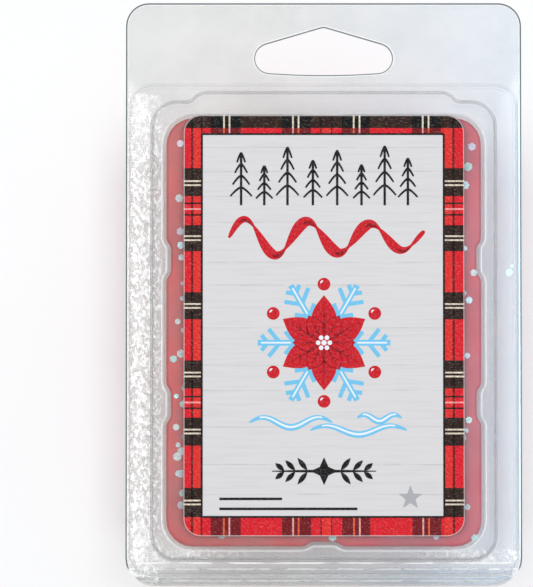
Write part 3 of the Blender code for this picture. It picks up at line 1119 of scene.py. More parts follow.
@dataclass(frozen=True)
class PackShape:
    """The pack's sizes that more than one piece needs."""

    half_width: float = 36.0 * MM
    top: float = 53.0 * MM
    corner: float = 4.2 * MM
    sheet: float = 0.4 * MM
    gap: float = 0.3 * MM
    step_box: Point = (35.4 * MM, -51.3 * MM, 38.3 * MM)
    lid_tab: float = 18.9 * MM
    lid_frame: float = 19.7 * MM
    lid_panel: float = 22.2 * MM
    tray_tab: float = 18.2 * MM
    tray_frame: float = 19.0 * MM
    tray_rim: float = 21.3 * MM
    tray_web: float = 12.0 * MM
    well_box: Point = (29.0 * MM, -46.3 * MM, 32.3 * MM)
    well_radius: float = 5.2 * MM
    well_run: float = 0.5 * MM
    well_steps: int = 6
    waists: Span = (0.8 * MM, 1.4 * MM)
    columns: int = 2
    rows: int = 3
    cup_spacing: float = 2.0 * MM
    cup_radius: float = 5.0 * MM
    cup_run: float = 1.1 * MM
    cup_steps: int = 7
    fold: float = -52.4 * MM

    def edge(self, lip: float) -> Outline:
        """The trimmed edge, down to a lip at the fold."""
        return rounded_box(-self.half_width, self.half_width, lip, self.top, self.corner)

    def step(self) -> Outline:
        """The frame's step, just inside the edge."""
        side, low, high = self.step_box
        return rounded_box(-side, side, low, high, self.corner)

    def panel(self) -> Outline:
        """The raised panel: straight sides, and a tongue at the top between two shoulders.

        A hollow arc and a round arc of equal angle join each shoulder to the tongue. The cosine of that
        angle is 1 less the rise over the sum of the radii.

        Returns:
            The outline.
        """
        side, low, shoulder, top, radius = (size * MM for size in (31.5, -48.6, 35.2, 36.9, 4.8))
        hollow, round_, middle = 1.5 * MM, 3.5 * MM, 23.1 * MM
        angle = math.degrees(math.acos(1 - (top - shoulder) / (hollow + round_)))
        half_run = (hollow + round_) * math.sin(math.radians(angle)) / 2
        right = np.array(
            [
                arc_row(side - radius, low + radius, radius, -90, 0),
                arc_row(side - radius, shoulder - radius, radius, 0, 90),
                arc_row(middle + half_run, shoulder + hollow, hollow, -90, -90 - angle),
                arc_row(middle - half_run, top - round_, round_, 90 - angle, 90),
            ]
        )
        return Outline(np.concatenate((right, mirrored(right))))

    def slot(self) -> Outline:
        """The peg slot: round ends, a peak at the top and a slightly bowed lower edge.

        The sides of the peak touch the end's circle, so their slope is the angle from its middle to the
        peak less the arcsine of the radius over that distance. The bow is a circle through the ends.

        Returns:
            The outline.
        """
        end, middle, radius, peak, bow, tip = (size * MM for size in (9.8, 42.9, 2.7, 48.6, 0.35, 1.6))
        rise = peak - middle
        slope = math.degrees(math.atan2(rise, end) - math.asin(radius / math.hypot(rise, end)))
        sweep = (end**2 + bow**2) / (2 * bow)
        lean = math.degrees(math.asin(end / sweep))
        low = middle - radius - bow
        tip_middle = peak - tip / math.cos(math.radians(slope))
        return Outline(
            np.array(
                [
                    arc_row(0.0, low + sweep, sweep, -90 - lean, -90 + lean),
                    arc_row(end, middle, radius, -90 + lean, 90 - slope),
                    arc_row(0.0, tip_middle, tip, 90 - slope, 90 + slope),
                    arc_row(-end, middle, radius, 90 + slope, 270 - lean),
                ]
            )
        )

    def waist(self, depth: float) -> np.ndarray:
        """A waist's four arcs, laid out along +x: in over a round and a hollow arc, and out again.

        Args:
            depth: how far in it goes.

        Returns:
            The arcs' rows.
        """
        half, round_, hollow = 4.1 * MM, 2.2 * MM, 1.8 * MM
        angle = math.degrees(math.acos(1 - depth / (round_ + hollow)))
        run = (round_ + hollow) * math.sin(math.radians(angle))
        return np.array(
            [
                arc_row(-half, round_, round_, -90, -90 + angle),
                arc_row(run - half, depth - hollow, hollow, 90 + angle, 90),
                arc_row(half - run, depth - hollow, hollow, 90, 90 - angle),
                arc_row(half, round_, round_, -90 - angle, -90),
            ]
        )

    def well_outline(self, depth: float) -> Outline:
        """The well's outline: a rounded rectangle, drawn in where two cups meet its side.

        Args:
            depth: how far in the waists go.

        Returns:
            The outline.
        """
        side, low, high = self.well_box
        radius = self.well_radius
        joints = [low + (high - low) * row / self.rows for row in range(1, self.rows)]
        waist = self.waist(depth)
        arcs = [turned(waist, 0.0, (0.0, low))]
        arcs.append(np.array([arc_row(side - radius, low + radius, radius, -90, 0)]))
        arcs += [turned(waist, math.pi / 2, (side, joint)) for joint in joints]
        arcs.append(np.array([arc_row(side - radius, high - radius, radius, 0, 90)]))
        arcs.append(turned(waist, math.pi, (0.0, high)))
        arcs.append(np.array([arc_row(radius - side, high - radius, radius, 90, 180)]))
        arcs += [turned(waist, 3 * math.pi / 2, (-side, joint)) for joint in reversed(joints)]
        arcs.append(np.array([arc_row(radius - side, low + radius, radius, 180, 270)]))
        return Outline(np.concatenate(arcs), steps=self.well_steps)

    def well_rings(self, inset: np.ndarray, height: np.ndarray, top: float, foot: float) -> np.ndarray:
        """Rings round the well, whose waists deepen on the way down.

        Every ring is the shallow waists' outline at its height mixed with the deep waists' one, by the
        share of the way from top to foot.

        Args:
            inset: how far in each ring is.
            height: how high each is.
            top: where the waists are shallow.
            foot: where they are deep.

        Returns:
            Rings by points by 3.
        """
        share = (top - height) / (top - foot)
        shallow, deep = (self.well_outline(depth).drawn_in(inset) for depth in self.waists)
        return lifted(shallow + (deep - shallow) * share[:, None, None], height[:, None, None])

    def cups(self) -> list[Outline]:
        """The cups' mouths: equal rounded boxes that share out the well.

        Returns:
            One outline for each, row by row.
        """
        side, low, high = self.well_box
        wide = (2 * side / self.columns - self.cup_spacing) / 2
        long = ((high - low) / self.rows - self.cup_spacing) / 2
        middles_x = -side + 2 * side / self.columns * (np.arange(self.columns) + 0.5)
        middles_y = low + (high - low) / self.rows * (np.arange(self.rows) + 0.5)
        return [
            rounded_box(x - wide, x + wide, y - long, y + long, self.cup_radius)
            for y in middles_y
            for x in middles_x
        ]


@dataclass
class ClearHalf:
    """What tray and lid share: the trimmed edge, the peg slot and the step up to the frame."""

    shape: PackShape
    edge_width: float = 0.50 * MM
    # How much painted shade the step's bends take.
    step_weight: float = 0.50
    step_run: float = 0.2 * MM
    step_radii: Span = (0.12 * MM, 0.25 * MM)
    step_bend_steps: int = 4
    fold_fade: float = 4.0 * MM
    # How strong the painted dark line and highlight round the peg slot are.
    slot_line: float = 0.76
    crease_angle: float = 40.0

    def frame(self, surface: Surface, lip: float, tab: float, frame: float, nest: float) -> np.ndarray:
        """Adds the edge, the slot and the step.

        Args:
            surface: what gathers the sheet.
            lip: where the edge ends at the fold.
            tab: how high the tab lies.
            frame: how high the frame lies.
            nest: how far in from the step's outline the step starts.

        Returns:
            The frame's outer ring.
        """
        edge = self.cut(surface, self.shape.edge(lip), tab, 1.0, 1.0)
        slot = self.cut(surface, self.shape.slot(), tab, -1.0, self.slot_line)
        profile = bent_wall((nest, tab), (nest + self.step_run, frame), self.step_radii, self.step_bend_steps)
        step = surface.wall(self.shape.step(), profile, self.step_weight)
        surface.level(edge, (slot, step[0]))
        return step[-1]

    def cut(
        self, surface: Surface, outline: Outline, height: float, way: float, strength: float
    ) -> np.ndarray:
        """Adds a narrow band along a cut edge, marked as edge.

        Args:
            surface: what gathers the sheet.
            outline: the cut edge.
            height: how high it lies.
            way: 1 for a band inside the outline, and -1 for one outside it.
            strength: the mark at the cut, which fades to nothing at the fold.

        Returns:
            The band's inner ring, or the outer one where the band lies outside.
        """
        rings = outline.drawn_in(np.array([0.0, way * self.edge_width]))
        points = lifted(rings, height)
        values = np.zeros((*rings.shape[:2], 2))
        from_fold = rings[0, :, 1] - self.shape.fold
        values[0, :, 1] = strength * np.clip(from_fold / self.fold_fade, 0.0, 1.0)
        if way > 0:
            return surface.grid(points, values)[1]
        return surface.grid(points[::-1], values[::-1])[0]

    def dress(self, surface: Surface, name: str, haze: float) -> bpy.types.Object:
        """Makes the sheet's object, with its thickness. Its own shading stands for its soft shadow.

        Args:
            surface: what gathered the sheet.
            name: the piece's name.
            haze: how much its level faces hide.

        Returns:
            The piece.
        """
        piece = surface.build(name, ClearSheet(f"clear_{name}", haze=haze).material())
        thicken(piece, self.shape.sheet)
        crease(piece, self.crease_angle)
        piece.visible_shadow = False
        return piece


@dataclass
class Tray(ClearHalf):
    """The back half: a frame, a rim that nests in the lid's panel, and a well with six cups."""

    haze: float = 0.07
    nest: float = 0.5 * MM
    # The weights of the painted shade on the step, the rim, the well and the cups.
    step_weight: float = 0.15
    rim_nest: float = 0.7 * MM
    rim_run: float = 0.6 * MM
    rim_weight: float = 0.08
    bends: Span = (0.35 * MM, 0.55 * MM)
    foot_bend: float = 0.02 * MM
    well_weights: Span = (0.30, 0.05)
    cup_bends: Span = (0.5 * MM, 2.4 * MM)
    cup_weight: float = 0.015
    lip_light: float = 0.3

    def build(self) -> bpy.types.Object:
        """Builds the tray's sheet and gives it its thickness.

        Returns:
            The piece.
        """
        shape = self.shape
        surface = Surface("tilt", "edge")
        frame = self.frame(surface, shape.fold, shape.tray_tab, shape.tray_frame, self.nest)
        start, end = (self.rim_nest, shape.tray_frame), (self.rim_nest + self.rim_run, shape.tray_rim)
        rim = surface.wall(shape.panel(), bent_wall(start, end, self.bends), self.rim_weight)
        surface.level(frame, (rim[0],))
        well = self.well(surface)
        surface.level(rim[-1], (well[0],))
        start, end = (0.0, shape.tray_web), (shape.cup_run, shape.sheet)
        profile = bent_wall(start, end, self.cup_bends, shape.cup_steps)
        mouths = []
        for cup in shape.cups():
            rings = surface.wall(cup, profile, self.cup_weight)
            surface.level(rings[-1])
            mouths.append(rings[0])
        surface.level(well[-1], mouths)
        piece = self.dress(surface, "tray_sheet", self.haze)
        settle(piece, Body.TRAY, Slot.TRAY, "tray")
        return piece

    def well(self, surface: Surface) -> np.ndarray:
        """Adds the well's wall. It takes more shade in its upper half, and its lip catches light.

        Args:
            surface: what gathers the sheet.

        Returns:
            The points' numbers, rings by columns.
        """
        shape = self.shape
        start, end = (0.0, shape.tray_rim), (shape.well_run, shape.tray_web)
        inset, height, shade = bent_wall(start, end, (self.bends[1], self.foot_bend)).T
        points = shape.well_rings(inset, height, shape.tray_rim, shape.tray_web)
        weight = np.where(height > (shape.tray_rim + shape.tray_web) / 2, *self.well_weights)
        values = np.zeros((*points.shape[:2], 2))
        values[:, :, 0] = (shade**SHADE_POWER * weight)[:, None]
        values[1:4, :, 1] = self.lip_light
        return surface.grid(points, values)


@dataclass
class Lid(ClearHalf):
    """The front half: a frame, and a raised panel that carries the label."""

    haze: float = 0.14
    nest: float = 0.0
    lip: float = -52.0 * MM
    panel_run: float = 0.5 * MM
    # The weight of the painted shade on the panel's wall.
    panel_weight: float = 1.3
    bends: Span = (0.25 * MM, 0.35 * MM)

    def build(self) -> bpy.types.Object:
        """Builds the lid's sheet and gives it its thickness.

        Returns:
            The piece.
        """
        shape = self.shape
        surface = Surface("tilt", "edge")
        frame = self.frame(surface, self.lip, shape.lid_tab, shape.lid_frame, self.nest)
        profile = bent_wall((0.0, shape.lid_frame), (self.panel_run, shape.lid_panel), self.bends)
        panel = surface.wall(shape.panel(), profile, self.panel_weight)
        surface.level(frame, (panel[0],))
        surface.level(panel[-1])
        piece = self.dress(surface, "lid_sheet", self.haze)
        settle(piece, Body.LID, Slot.LID, "lid")
        return piece


@dataclass
class FoldRibs:
    """Low half-round ribs that stiffen the lid's frame beside the fold."""

    middles: Span = (-49.95 * MM, -50.6 * MM)
    half_width: float = 0.24 * MM
    height: float = 0.17 * MM
    half_length: float = 30.0 * MM
    ground: float = 19.7 * MM
    root: float = 0.08 * MM
    fade_power: int = 4
    # The painted shade on the ribs.
    tilt: float = 0.10
    haze: float = 0.05
    crease_angle: float = 50.0

    def build(self) -> bpy.types.Object:
        """Builds the ribs.

        A rib's section is a half ellipse on a flat foot sunk in the sheet. It is carried along X, and
        its height falls to nothing at both ends with the fourth power of the share of the length.

        Returns:
            The piece.
        """
        turn = np.linspace(0.0, math.pi, 9)
        along = np.linspace(-1.0, 1.0, 61)
        swell = 1 - along**self.fade_power
        surface = Surface("tilt", "edge")
        for middle in self.middles:
            points = np.empty((len(along), len(turn) + 2, 3))
            points[:, :, 0] = along[:, None] * self.half_length
            points[:, :-2, 1] = middle + self.half_width * np.cos(turn)
            points[:, :-2, 2] = self.ground + self.height * swell[:, None] * np.sin(turn)
            points[:, -2:, 1] = middle + np.array((-self.half_width, self.half_width))
            points[:, -2:, 2] = self.ground - self.root
            surface.capped(surface.grid(points, (self.tilt, 0.0)))
        piece = surface.build("fold_ribs", ClearSheet("clear_ribs", haze=self.haze).material())
        point_out(piece)
        crease(piece, self.crease_angle)
        settle(piece, Body.LID, Slot.LID)
        return piece


@dataclass
class FoldWeb:
    """The ribbed strip of sheet that runs from the lid's lip, round the fold, to the tray's lip."""

    half_length: float = 34.2 * MM
    stations: int = 121
    thickness: float = 0.3 * MM
    axis: Span = (-52.62 * MM, 18.35 * MM)
    radius: float = 0.36 * MM
    reach: Span = (0.35 * MM, 1.0 * MM)
    corner: Span = (31.8 * MM, 4.2 * MM)
    before_corner: float = 2.0 * MM
    taper: float = 0.73 * MM
    # The painted shade on the strip round the fold.
    tilt: float = 0.12
    crease_angle: float = 50.0

    def drawn_in(self, along: np.ndarray) -> np.ndarray:
        """How far the strip moves in at each place along the fold.

        It follows the lips' round corners, which are quarter circles, and the square of the share of the
        way from just before the corner to the strip's end tucks the bend between the lips.

        Args:
            along: the places' X.

        Returns:
            One distance a place.
        """
        start, radius = self.corner
        past = np.clip(np.abs(along) - start, 0.0, radius)
        before = start - self.before_corner
        share = np.clip((np.abs(along) - before) / (self.half_length - before), 0.0, 1.0)
        return radius - np.sqrt(radius**2 - past**2) + self.taper * share**2

    def build(self) -> bpy.types.Object:
        """Builds the strip.

        Its path is level under the tray's lip, a half circle round the fold, and level again to the
        lid's lip. The strip's two faces lie half its thickness to each side of that path, and the
        section is carried along X, with its ends drawn in a little.

        Returns:
            The piece.
        """
        turn = np.linspace(-math.pi / 2, -3 * math.pi / 2, 13)
        y, z = self.axis
        outward = np.stack((np.cos(turn), np.sin(turn)), axis=-1)
        low = np.array([[y + self.reach[0], z - self.radius]])
        high = np.array([[y + self.reach[1], z + self.radius]])
        path = np.concatenate((low, self.axis + self.radius * outward, high))
        normal = np.concatenate((outward[:1], outward, outward[-1:]))
        half = self.thickness / 2
        section = np.concatenate((path + normal * half, (path - normal * half)[::-1]))
        along = np.linspace(-self.half_length, self.half_length, self.stations)
        points = np.empty((len(along), len(section), 3))
        points[:, :, 0] = along[:, None]
        points[:, :, 1:] = section
        points[:, :, 1] += self.drawn_in(along)[:, None]
        surface = Surface("tilt", "edge")
        surface.capped(surface.grid(points, (self.tilt, 0.0)))
        piece = surface.build("fold_web", ClearSheet("clear_fold").material())
        point_out(piece)
        crease(piece, self.crease_angle)
        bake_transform(piece)
        LOG.info("%s bends between %s and %s", piece.name, Body.TRAY.value, Body.LID.value)
        return piece


# The wax


@dataclass
class WaxBar:
    """The bar of six joined cubes that fills the tray, with glitter on its top."""

    shape: PackShape
    top: float = 20.7 * MM
    inset: float = 0.1 * MM
    soft: float = 0.7 * MM
    soft_steps: int = 8
    foot_bends: Span = (0.35 * MM, 2.1 * MM)
    crease_angle: float = 60.0
    flakes: int = 380
    flake_corners: int = 6
    flake_radius: Span = (0.42 * MM, 0.85 * MM)
    flake_slope: float = 0.10
    flake_border: float = 1.6 * MM
    flake_rise: float = 0.12 * MM
    flake_root: float = 0.15 * MM
    flake_seed: int = 11
    stray_heights: Span = (19.69 * MM, 19.76 * MM)
    stray_places: tuple[Point, ...] = ((33.7 * MM, 3.9 * MM, 0.75 * MM), (34.2 * MM, 5.0 * MM, 0.42 * MM))

    def build(self) -> None:
        """Builds the bar, its glitter and the two loose flakes."""
        shape = self.shape
        surface = Surface()
        index = surface.grid(self.side_rings())
        surface.level(index[-1])
        start = (shape.gap, shape.tray_web + shape.gap)
        end = (shape.gap + shape.cup_run, shape.sheet + shape.gap)
        profile = bent_wall(start, end, self.foot_bends, shape.cup_steps)[::-1]
        mouths = []
        for cup in shape.cups():
            rings = surface.wall(cup, profile)
            surface.level(rings[0], up=False)
            mouths.append(rings[-1])
        surface.level(index[0], mouths, up=False)
        piece = surface.build("wax_bar_skin", Wax().material())
        crease(piece, self.crease_angle)
        settle(piece, Body.TRAY, Slot.WAX, "wax_bar")
        self.sprinkle("glitter", self.glitter(), Body.TRAY)
        self.sprinkle("stray_flakes", self.strays(), Body.LID)

    def side_rings(self) -> np.ndarray:
        """The bar's side from its foot up to the rounded edge of its top, a quarter circle.

        Returns:
            Rings by points by 3.
        """
        shape = self.shape
        foot = shape.tray_web + shape.gap
        turn = np.linspace(0.0, math.pi / 2, self.soft_steps)
        rounding = self.inset + shape.gap + self.soft * (1 - np.cos(turn))
        inset = np.concatenate(([shape.well_run + shape.gap], rounding))
        height = np.concatenate(([foot], self.top - self.soft * (1 - np.sin(turn))))
        return shape.well_rings(inset, height, self.top, foot)

    def sprinkle(self, name: str, surface: Surface, body: Body) -> None:
        """Makes a piece of flakes with flat faces.

        Args:
            name: the piece's name.
            surface: what gathered the flakes.
            body: the body that they move with.
        """
        piece = surface.build(name, Glitter().material())
        piece.data.shade_flat()
        settle(piece, body, Slot.WAX)

    def strays(self) -> Surface:
        """Two loose flakes that lie on the lid's frame by the right edge.

        Returns:
            The surface.
        """
        surface = Surface("shade")
        rings = [
            np.stack([lifted(circle(*place, self.flake_corners), height) for height in self.stray_heights])
            for place in self.stray_places
        ]
        surface.prisms(np.stack(rings))
        return surface

    def glitter(self) -> Surface:
        """Scatters thin six-sided flakes over the top, tilted a little.

        A flake's corners are six points on a circle, lifted by a small slope along a random bearing.
        The lower ring is the same circle, sunk into the wax.

        Returns:
            The surface.
        """
        draw = np.random.default_rng(self.flake_seed)
        side, low, high = self.shape.well_box
        border = self.flake_border
        x = draw.uniform(border - side, side - border, self.flakes)
        y = draw.uniform(low + border, high - border, self.flakes)
        radius = draw.uniform(*self.flake_radius, self.flakes)
        turn = draw.uniform(0, math.pi / 3, self.flakes)
        slope = draw.uniform(0.0, self.flake_slope, self.flakes)
        downhill = draw.uniform(0, 2 * math.pi, self.flakes)
        shade = draw.uniform(0, 1, self.flakes)
        angle = turn[:, None] + np.arange(self.flake_corners) * 2 * math.pi / self.flake_corners
        corner_x = radius[:, None] * np.cos(angle)
        corner_y = radius[:, None] * np.sin(angle)
        lift = slope[:, None] * (corner_x * np.cos(downhill[:, None]) + corner_y * np.sin(downhill[:, None]))
        flat = np.stack((x[:, None] + corner_x, y[:, None] + corner_y), axis=-1)
        upper = lifted(flat, (self.top + self.flake_rise + lift)[:, :, None])
        lower = lifted(flat, self.top - self.flake_root)
        surface = Surface("shade")
        surface.prisms(np.stack((lower, upper), axis=1), shade)
        return surface


# The label


@dataclass
class Label:
    """The paper label: a plaid edge round pale planks, and a plain winter design in six inks.

    The design is a row of line firs, a ribbon, a snow star with a flower and berries over drifts, an
    ornament, two rules and a small star. The sizes of the paper are in metres, and those of the design
    in millimetres.
    """

    half_width: float = 25.4 * MM
    low: float = -43.95 * MM
    high: float = 32.25 * MM
    corner: float = 3.2 * MM
    under: float = 22.5 * MM
    face: float = 22.7 * MM
    edge_round: float = 0.04 * MM
    edge_rim: float = 0.15 * MM
    crease_angle: float = 30.0
    layer: float = 0.012 * MM
    hair: float = 0.0012 * MM
    hairs: int = 9
    line: float = 0.42
    fir_foot: float = 15.9
    firs: tuple[Point, ...] = (
        (-15.0, 9.6, 4.4), (-10.8, 7.2, 3.4), (-6.6, 10.6, 4.6), (-2.0, 8.2, 3.8),
        (2.4, 10.0, 4.4), (6.8, 7.4, 3.4), (11.0, 10.8, 4.6), (15.2, 8.6, 4.0),
    )
    tiers: tuple[float, ...] = (0.14, 0.36, 0.58, 0.78)
    ornament: Span = (0.0, -32.2)
    stem: tuple[Span, ...] = ((1.6, 0.5), (5.0, 0.4), (9.4, 0.15))
    leaves: tuple[Point, ...] = ((3.0, 52.0, 2.9), (5.2, 46.0, 2.6), (7.2, 40.0, 2.1))
    leaf_width: float = 0.9
    rules: tuple[Span, ...] = ((-37.2, -7.6), (-39.0, 6.0))
    rule_start: float = -18.9
    rule_width: float = 0.45
    panel_rule: float = 0.34
    ribbon_start: Span = (-17.2, 10.0)
    ribbon_length: float = 35.4
    ribbon_swing: float = 3.5
    ribbon_turns: float = 6.2 * math.pi
    folds: int = 6
    star: Span = (0.0, -9.0)
    arms: int = 6
    arm_length: float = 12.0
    twigs: tuple[Span, ...] = ((5.4, 2.6), (8.0, 3.2), (10.2, 1.8))
    twig_lean: Span = (0.62, 0.78)
    long_petal: Span = (8.6, 4.6)
    short_petal: Span = (5.6, 3.3)
    veins: Span = (0.36, 0.54)
    vein_lean: Span = (0.95, 0.75)
    berry_reach: float = 10.6
    berry: float = 1.15
    eye_reach: float = 1.05
    drift_places: tuple[tuple[float, float, float, float], ...] = (
        (-13.5, 1.5, -23.4, 0.9), (-2.5, 15.0, -24.8, 0.8), (6.0, 14.0, -22.6, 0.6),
    )
    small_star: Span = (15.6, -37.0)

    def build(self) -> None:
        """Builds the paper, and each ink in turn on top of it."""
        outline = rounded_box(-self.half_width, self.half_width, self.low, self.high, self.corner)
        soft, rim, face = self.edge_round, self.edge_rim, self.face
        profile = [[0, self.under, 1], [0, face - soft, 1]]
        profile += [[soft, face, 1], [rim, face, 1], [rim + soft, face, 0]]
        surface = Surface("edge")
        rings = surface.wall(outline, np.array(profile))
        surface.level(rings[-1])
        surface.level(rings[0], up=False)
        piece = surface.build("label_sheet", Plaid().material())
        crease(piece, self.crease_angle)
        settle(piece, Body.LID, Slot.LABEL, "label")
        drawings = {
            Ink.GREY: self.grey,
            Ink.SKY: self.sky,
            Ink.RED: self.red,
            Ink.DEEP: self.deep,
            Ink.PALE: self.pale,
            Ink.BLACK: self.black,
        }
        for order, (ink, draw) in enumerate(drawings.items(), start=1):
            surface = Surface()
            draw(surface, self.face + self.layer * order)
            piece = surface.build(f"print_{ink.name.lower()}", Print(ink).material())
            piece.data.shade_flat()
            settle(piece, Body.LID, Slot.LABEL)

    def stroke(self, surface: Surface, points: np.ndarray, widths: np.ndarray | float, top: float) -> None:
        """A flat line of ink: a thin box section carried along a path.

        At each point, the section's two sides lie half the width to the left and right of the path. Each
        line lies a hair higher than the one before, so that lines which cross don't share a face.

        Args:
            surface: what gathers the ink.
            points: the path.
            widths: one width, or one a point.
            top: how high the ink lies.
        """
        top += self.hair * (len(surface.points) % self.hairs)
        points = np.asarray(points, float) * MM
        ahead = np.gradient(points, axis=0)
        ahead /= np.linalg.norm(ahead, axis=1, keepdims=True)
        half = (np.broadcast_to(widths, len(points)) * MM / 2)[:, None]
        left = np.stack((-ahead[:, 1], ahead[:, 0]), axis=-1) * half
        root = self.face - self.layer
        corners = ((points + left, root), (points - left, root), (points - left, top), (points + left, top))
        surface.capped(surface.grid(np.stack([lifted(side, height) for side, height in corners], axis=1)))

    def plate(self, surface: Surface, outline: np.ndarray, top: float) -> None:
        """A flat patch of ink inside an outline that runs anticlockwise, a hair above the one before.

        Args:
            surface: what gathers the ink.
            outline: the patch's outline.
            top: how high the ink lies.
        """
        top += self.hair * (len(surface.points) % self.hairs)
        rings = [lifted(outline * MM, height) for height in (self.face - self.layer, top)]
        surface.capped(surface.grid(np.stack(rings)))

    def black(self, surface: Surface, top: float) -> None:
        """The row of line firs, the ornament, the two rules and the thin rule round the panel.

        Args:
            surface: what gathers the ink.
            top: how high it lies.
        """
        for x, height, width in self.firs:
            self.fir(surface, x, height, width, top)
        middle, y = self.ornament
        for way in (-1, 1):
            stem = np.array([(middle + way * along, y) for along, _ in self.stem])
            self.stroke(surface, stem, np.array([width for _, width in self.stem]), top)
            for along, turn, length in self.leaves:
                for side in (-1, 1):
                    angle = side * turn if way > 0 else 180 - side * turn
                    root = (middle + way * along, y + side * 0.1)
                    self.plate(surface, leaf(*root, length, self.leaf_width, angle), top)
        self.plate(surface, pointed(middle, y, 2.5, 1.1, 4), top)
        for y, end in self.rules:
            self.stroke(surface, [(self.rule_start, y), (end, y)], self.rule_width, top)
        left, right, low, high = Plaid().panel
        corners = ((left, low), (right, low), (right, high), (left, high))
        for start, end in zip(corners, corners[1:] + corners[:1]):
            self.stroke(surface, [start, end], self.panel_rule, top)

    def fir(self, surface: Surface, x: float, height: float, width: float, top: float) -> None:
        """A fir drawn in thin lines: a stem and four pairs of falling boughs.

        A bough falls with the share of its length to the power of 1.4.

        Args:
            surface: what gathers the ink.
            x: where it stands.
            height: how tall it is.
            width: how wide its lowest boughs are.
            top: how high the ink lies.
        """
        foot = self.fir_foot
        self.stroke(surface, [(x, foot), (x, foot + height)], self.line, top)
        share = np.linspace(0.0, 1.0, 6)
        for tier in self.tiers:
            reach = width / 2 * (1 - tier * 0.85)
            root = foot + height * (tier + 0.20)
            for way in (-1, 1):
                bough = np.stack((x + way * reach * share, root - height * 0.17 * share**1.4), axis=-1)
                self.stroke(surface, bough, np.linspace(self.line, 0.30, 6), top)

    def ribbon(self) -> tuple[np.ndarray, np.ndarray, np.ndarray]:
        """The ribbon: a sine wave that flattens to the right, widest on its slopes.

        Returns:
            The path, its widths, and the wave's angle at each point.
        """
        share = np.linspace(0.0, 1.0, 120)
        swing = share * self.ribbon_turns
        x, y = self.ribbon_start
        height = y + self.ribbon_swing * np.sin(swing) * (1 - 0.40 * share)
        widths = 0.40 + 1.75 * np.abs(np.sin(swing + 0.7)) * np.sin(math.pi * share) ** 0.4
        return np.stack((x + self.ribbon_length * share, height), axis=-1), widths, swing

    def petals(self) -> list[Point]:
        """The long petals, and the short ones on top.

        Returns:
            Each petal's bearing in degrees, length and width.
        """
        turn = 360 / self.arms
        long = [(turn * (arm + 0.5), *self.long_petal) for arm in range(self.arms)]
        return long + [(turn * arm, *self.short_petal) for arm in range(self.arms)]

    def around_star(self, reach: float, turn: float = 0.0) -> list[np.ndarray]:
        """Places round the star, as many as it has arms.

        Args:
            reach: how far from its middle.
            turn: how far past the arms, as a share of the angle between them.

        Returns:
            The places.
        """
        step = 360 / self.arms
        return [self.star + reach * bearing(step * (arm + turn)) for arm in range(self.arms)]

    def red(self, surface: Surface, top: float) -> None:
        """The ribbon, the flower's petals and the berries.

        Args:
            surface: what gathers the ink.
            top: how high it lies.
        """
        path, widths, _ = self.ribbon()
        self.stroke(surface, path, widths, top)
        for turn, length, width in self.petals():
            self.plate(surface, leaf(*self.star, length, width, turn), top)
        for place in self.around_star(self.berry_reach, 0.5):
            self.plate(surface, circle(*place, self.berry, 32), top)

    def deep(self, surface: Surface, top: float) -> None:
        """The ribbon's folds, the petals' ribs and veins, and the short petals' outlines.

        Args:
            surface: what gathers the ink.
            top: how high it lies.
        """
        path, widths, swing = self.ribbon()
        for fold in range(self.folds):
            at = np.abs(swing - math.pi * (fold + 0.55)) < 0.75
            bow = np.sin(np.linspace(0, math.pi, int(at.sum())))
            self.stroke(surface, path[at] - (0, 0.18), widths[at] * 0.42 * bow + 0.04, top)
        share = np.linspace(0.0, 1.0, 12)
        forth, sideways = self.vein_lean
        for order, (turn, length, width) in enumerate(self.petals()):
            ahead, aside = bearing(turn), bearing(turn + 90)
            rib = self.star + length * (0.12 + 0.76 * share[:, None]) * ahead
            self.stroke(surface, rib, 0.34 - 0.28 * share, top)
            for start in self.veins:
                for way in (-1, 1):
                    reach = width * 0.30 * share[:, None]
                    lean = forth * ahead + way * sideways * aside
                    vein = self.star + length * start * ahead + reach * lean
                    self.stroke(surface, vein, 0.20 - 0.15 * share, top)
            if order >= self.arms:
                outline = leaf(*self.star, length, width, turn)
                self.stroke(surface, np.concatenate((outline[3:], outline[:1]))[:-4], 0.16, top)

    def pale(self, surface: Surface, top: float) -> None:
        """The flower's eye, the berries' lights, and the white hearts of the star's arms and the drifts.

        Args:
            surface: what gathers the ink.
            top: how high it lies.
        """
        for place in self.around_star(self.eye_reach):
            self.plate(surface, circle(*place, 0.42, 16), top)
        self.plate(surface, circle(*self.star, 0.48, 16), top)
        share = np.linspace(0.0, 1.0, 13)
        angle = np.radians(100 + 70 * share)
        light = self.berry * 0.55 * np.stack((np.cos(angle), np.sin(angle)), axis=-1)
        for place in self.around_star(self.berry_reach, 0.5):
            self.stroke(surface, place + light, self.berry * 0.26 * np.sin(math.pi * share) + 0.03, top)
        for inner, outer in zip(self.around_star(6.0), self.around_star(11.4)):
            self.stroke(surface, inner + (outer - inner) * share[:, None], 0.30, top)
        for path, widths in self.drifts():
            self.stroke(surface, path[6:-6] + (0, 0.06), widths[6:-6] * 0.34, top)

    def drifts(self) -> list[tuple[np.ndarray, np.ndarray]]:
        """The snow drifts: flat sine waves that taper to both ends.

        Returns:
            Each drift's path and widths.
        """
        share = np.linspace(0.0, 1.0, 50)
        widths = 0.2 + 1.0 * np.sin(math.pi * share) ** 0.6
        wave = np.sin(share * 3 * math.pi)
        return [
            (np.stack((left + (right - left) * share, y + swell * wave), axis=-1), widths)
            for left, right, y, swell in self.drift_places
        ]

    def sky(self, surface: Surface, top: float) -> None:
        """The snow star, with three pairs of twigs on each arm, and the drifts under it.

        Args:
            surface: what gathers the ink.
            top: how high it lies.
        """
        share = np.linspace(0.0, 1.0, 7)[:, None]
        forth, sideways = self.twig_lean
        for arm in range(self.arms):
            turn = arm * 360 / self.arms
            ahead, aside = bearing(turn), bearing(turn + 90)
            self.stroke(surface, self.star + self.arm_length * share * ahead, 1.05, top)
            for where, length in self.twigs:
                for way in (-1, 1):
                    tip = forth * ahead + way * sideways * aside
                    self.stroke(surface, self.star + where * ahead + length * share * tip, 0.75, top)
        for path, widths in self.drifts():
            self.stroke(surface, path, widths, top)

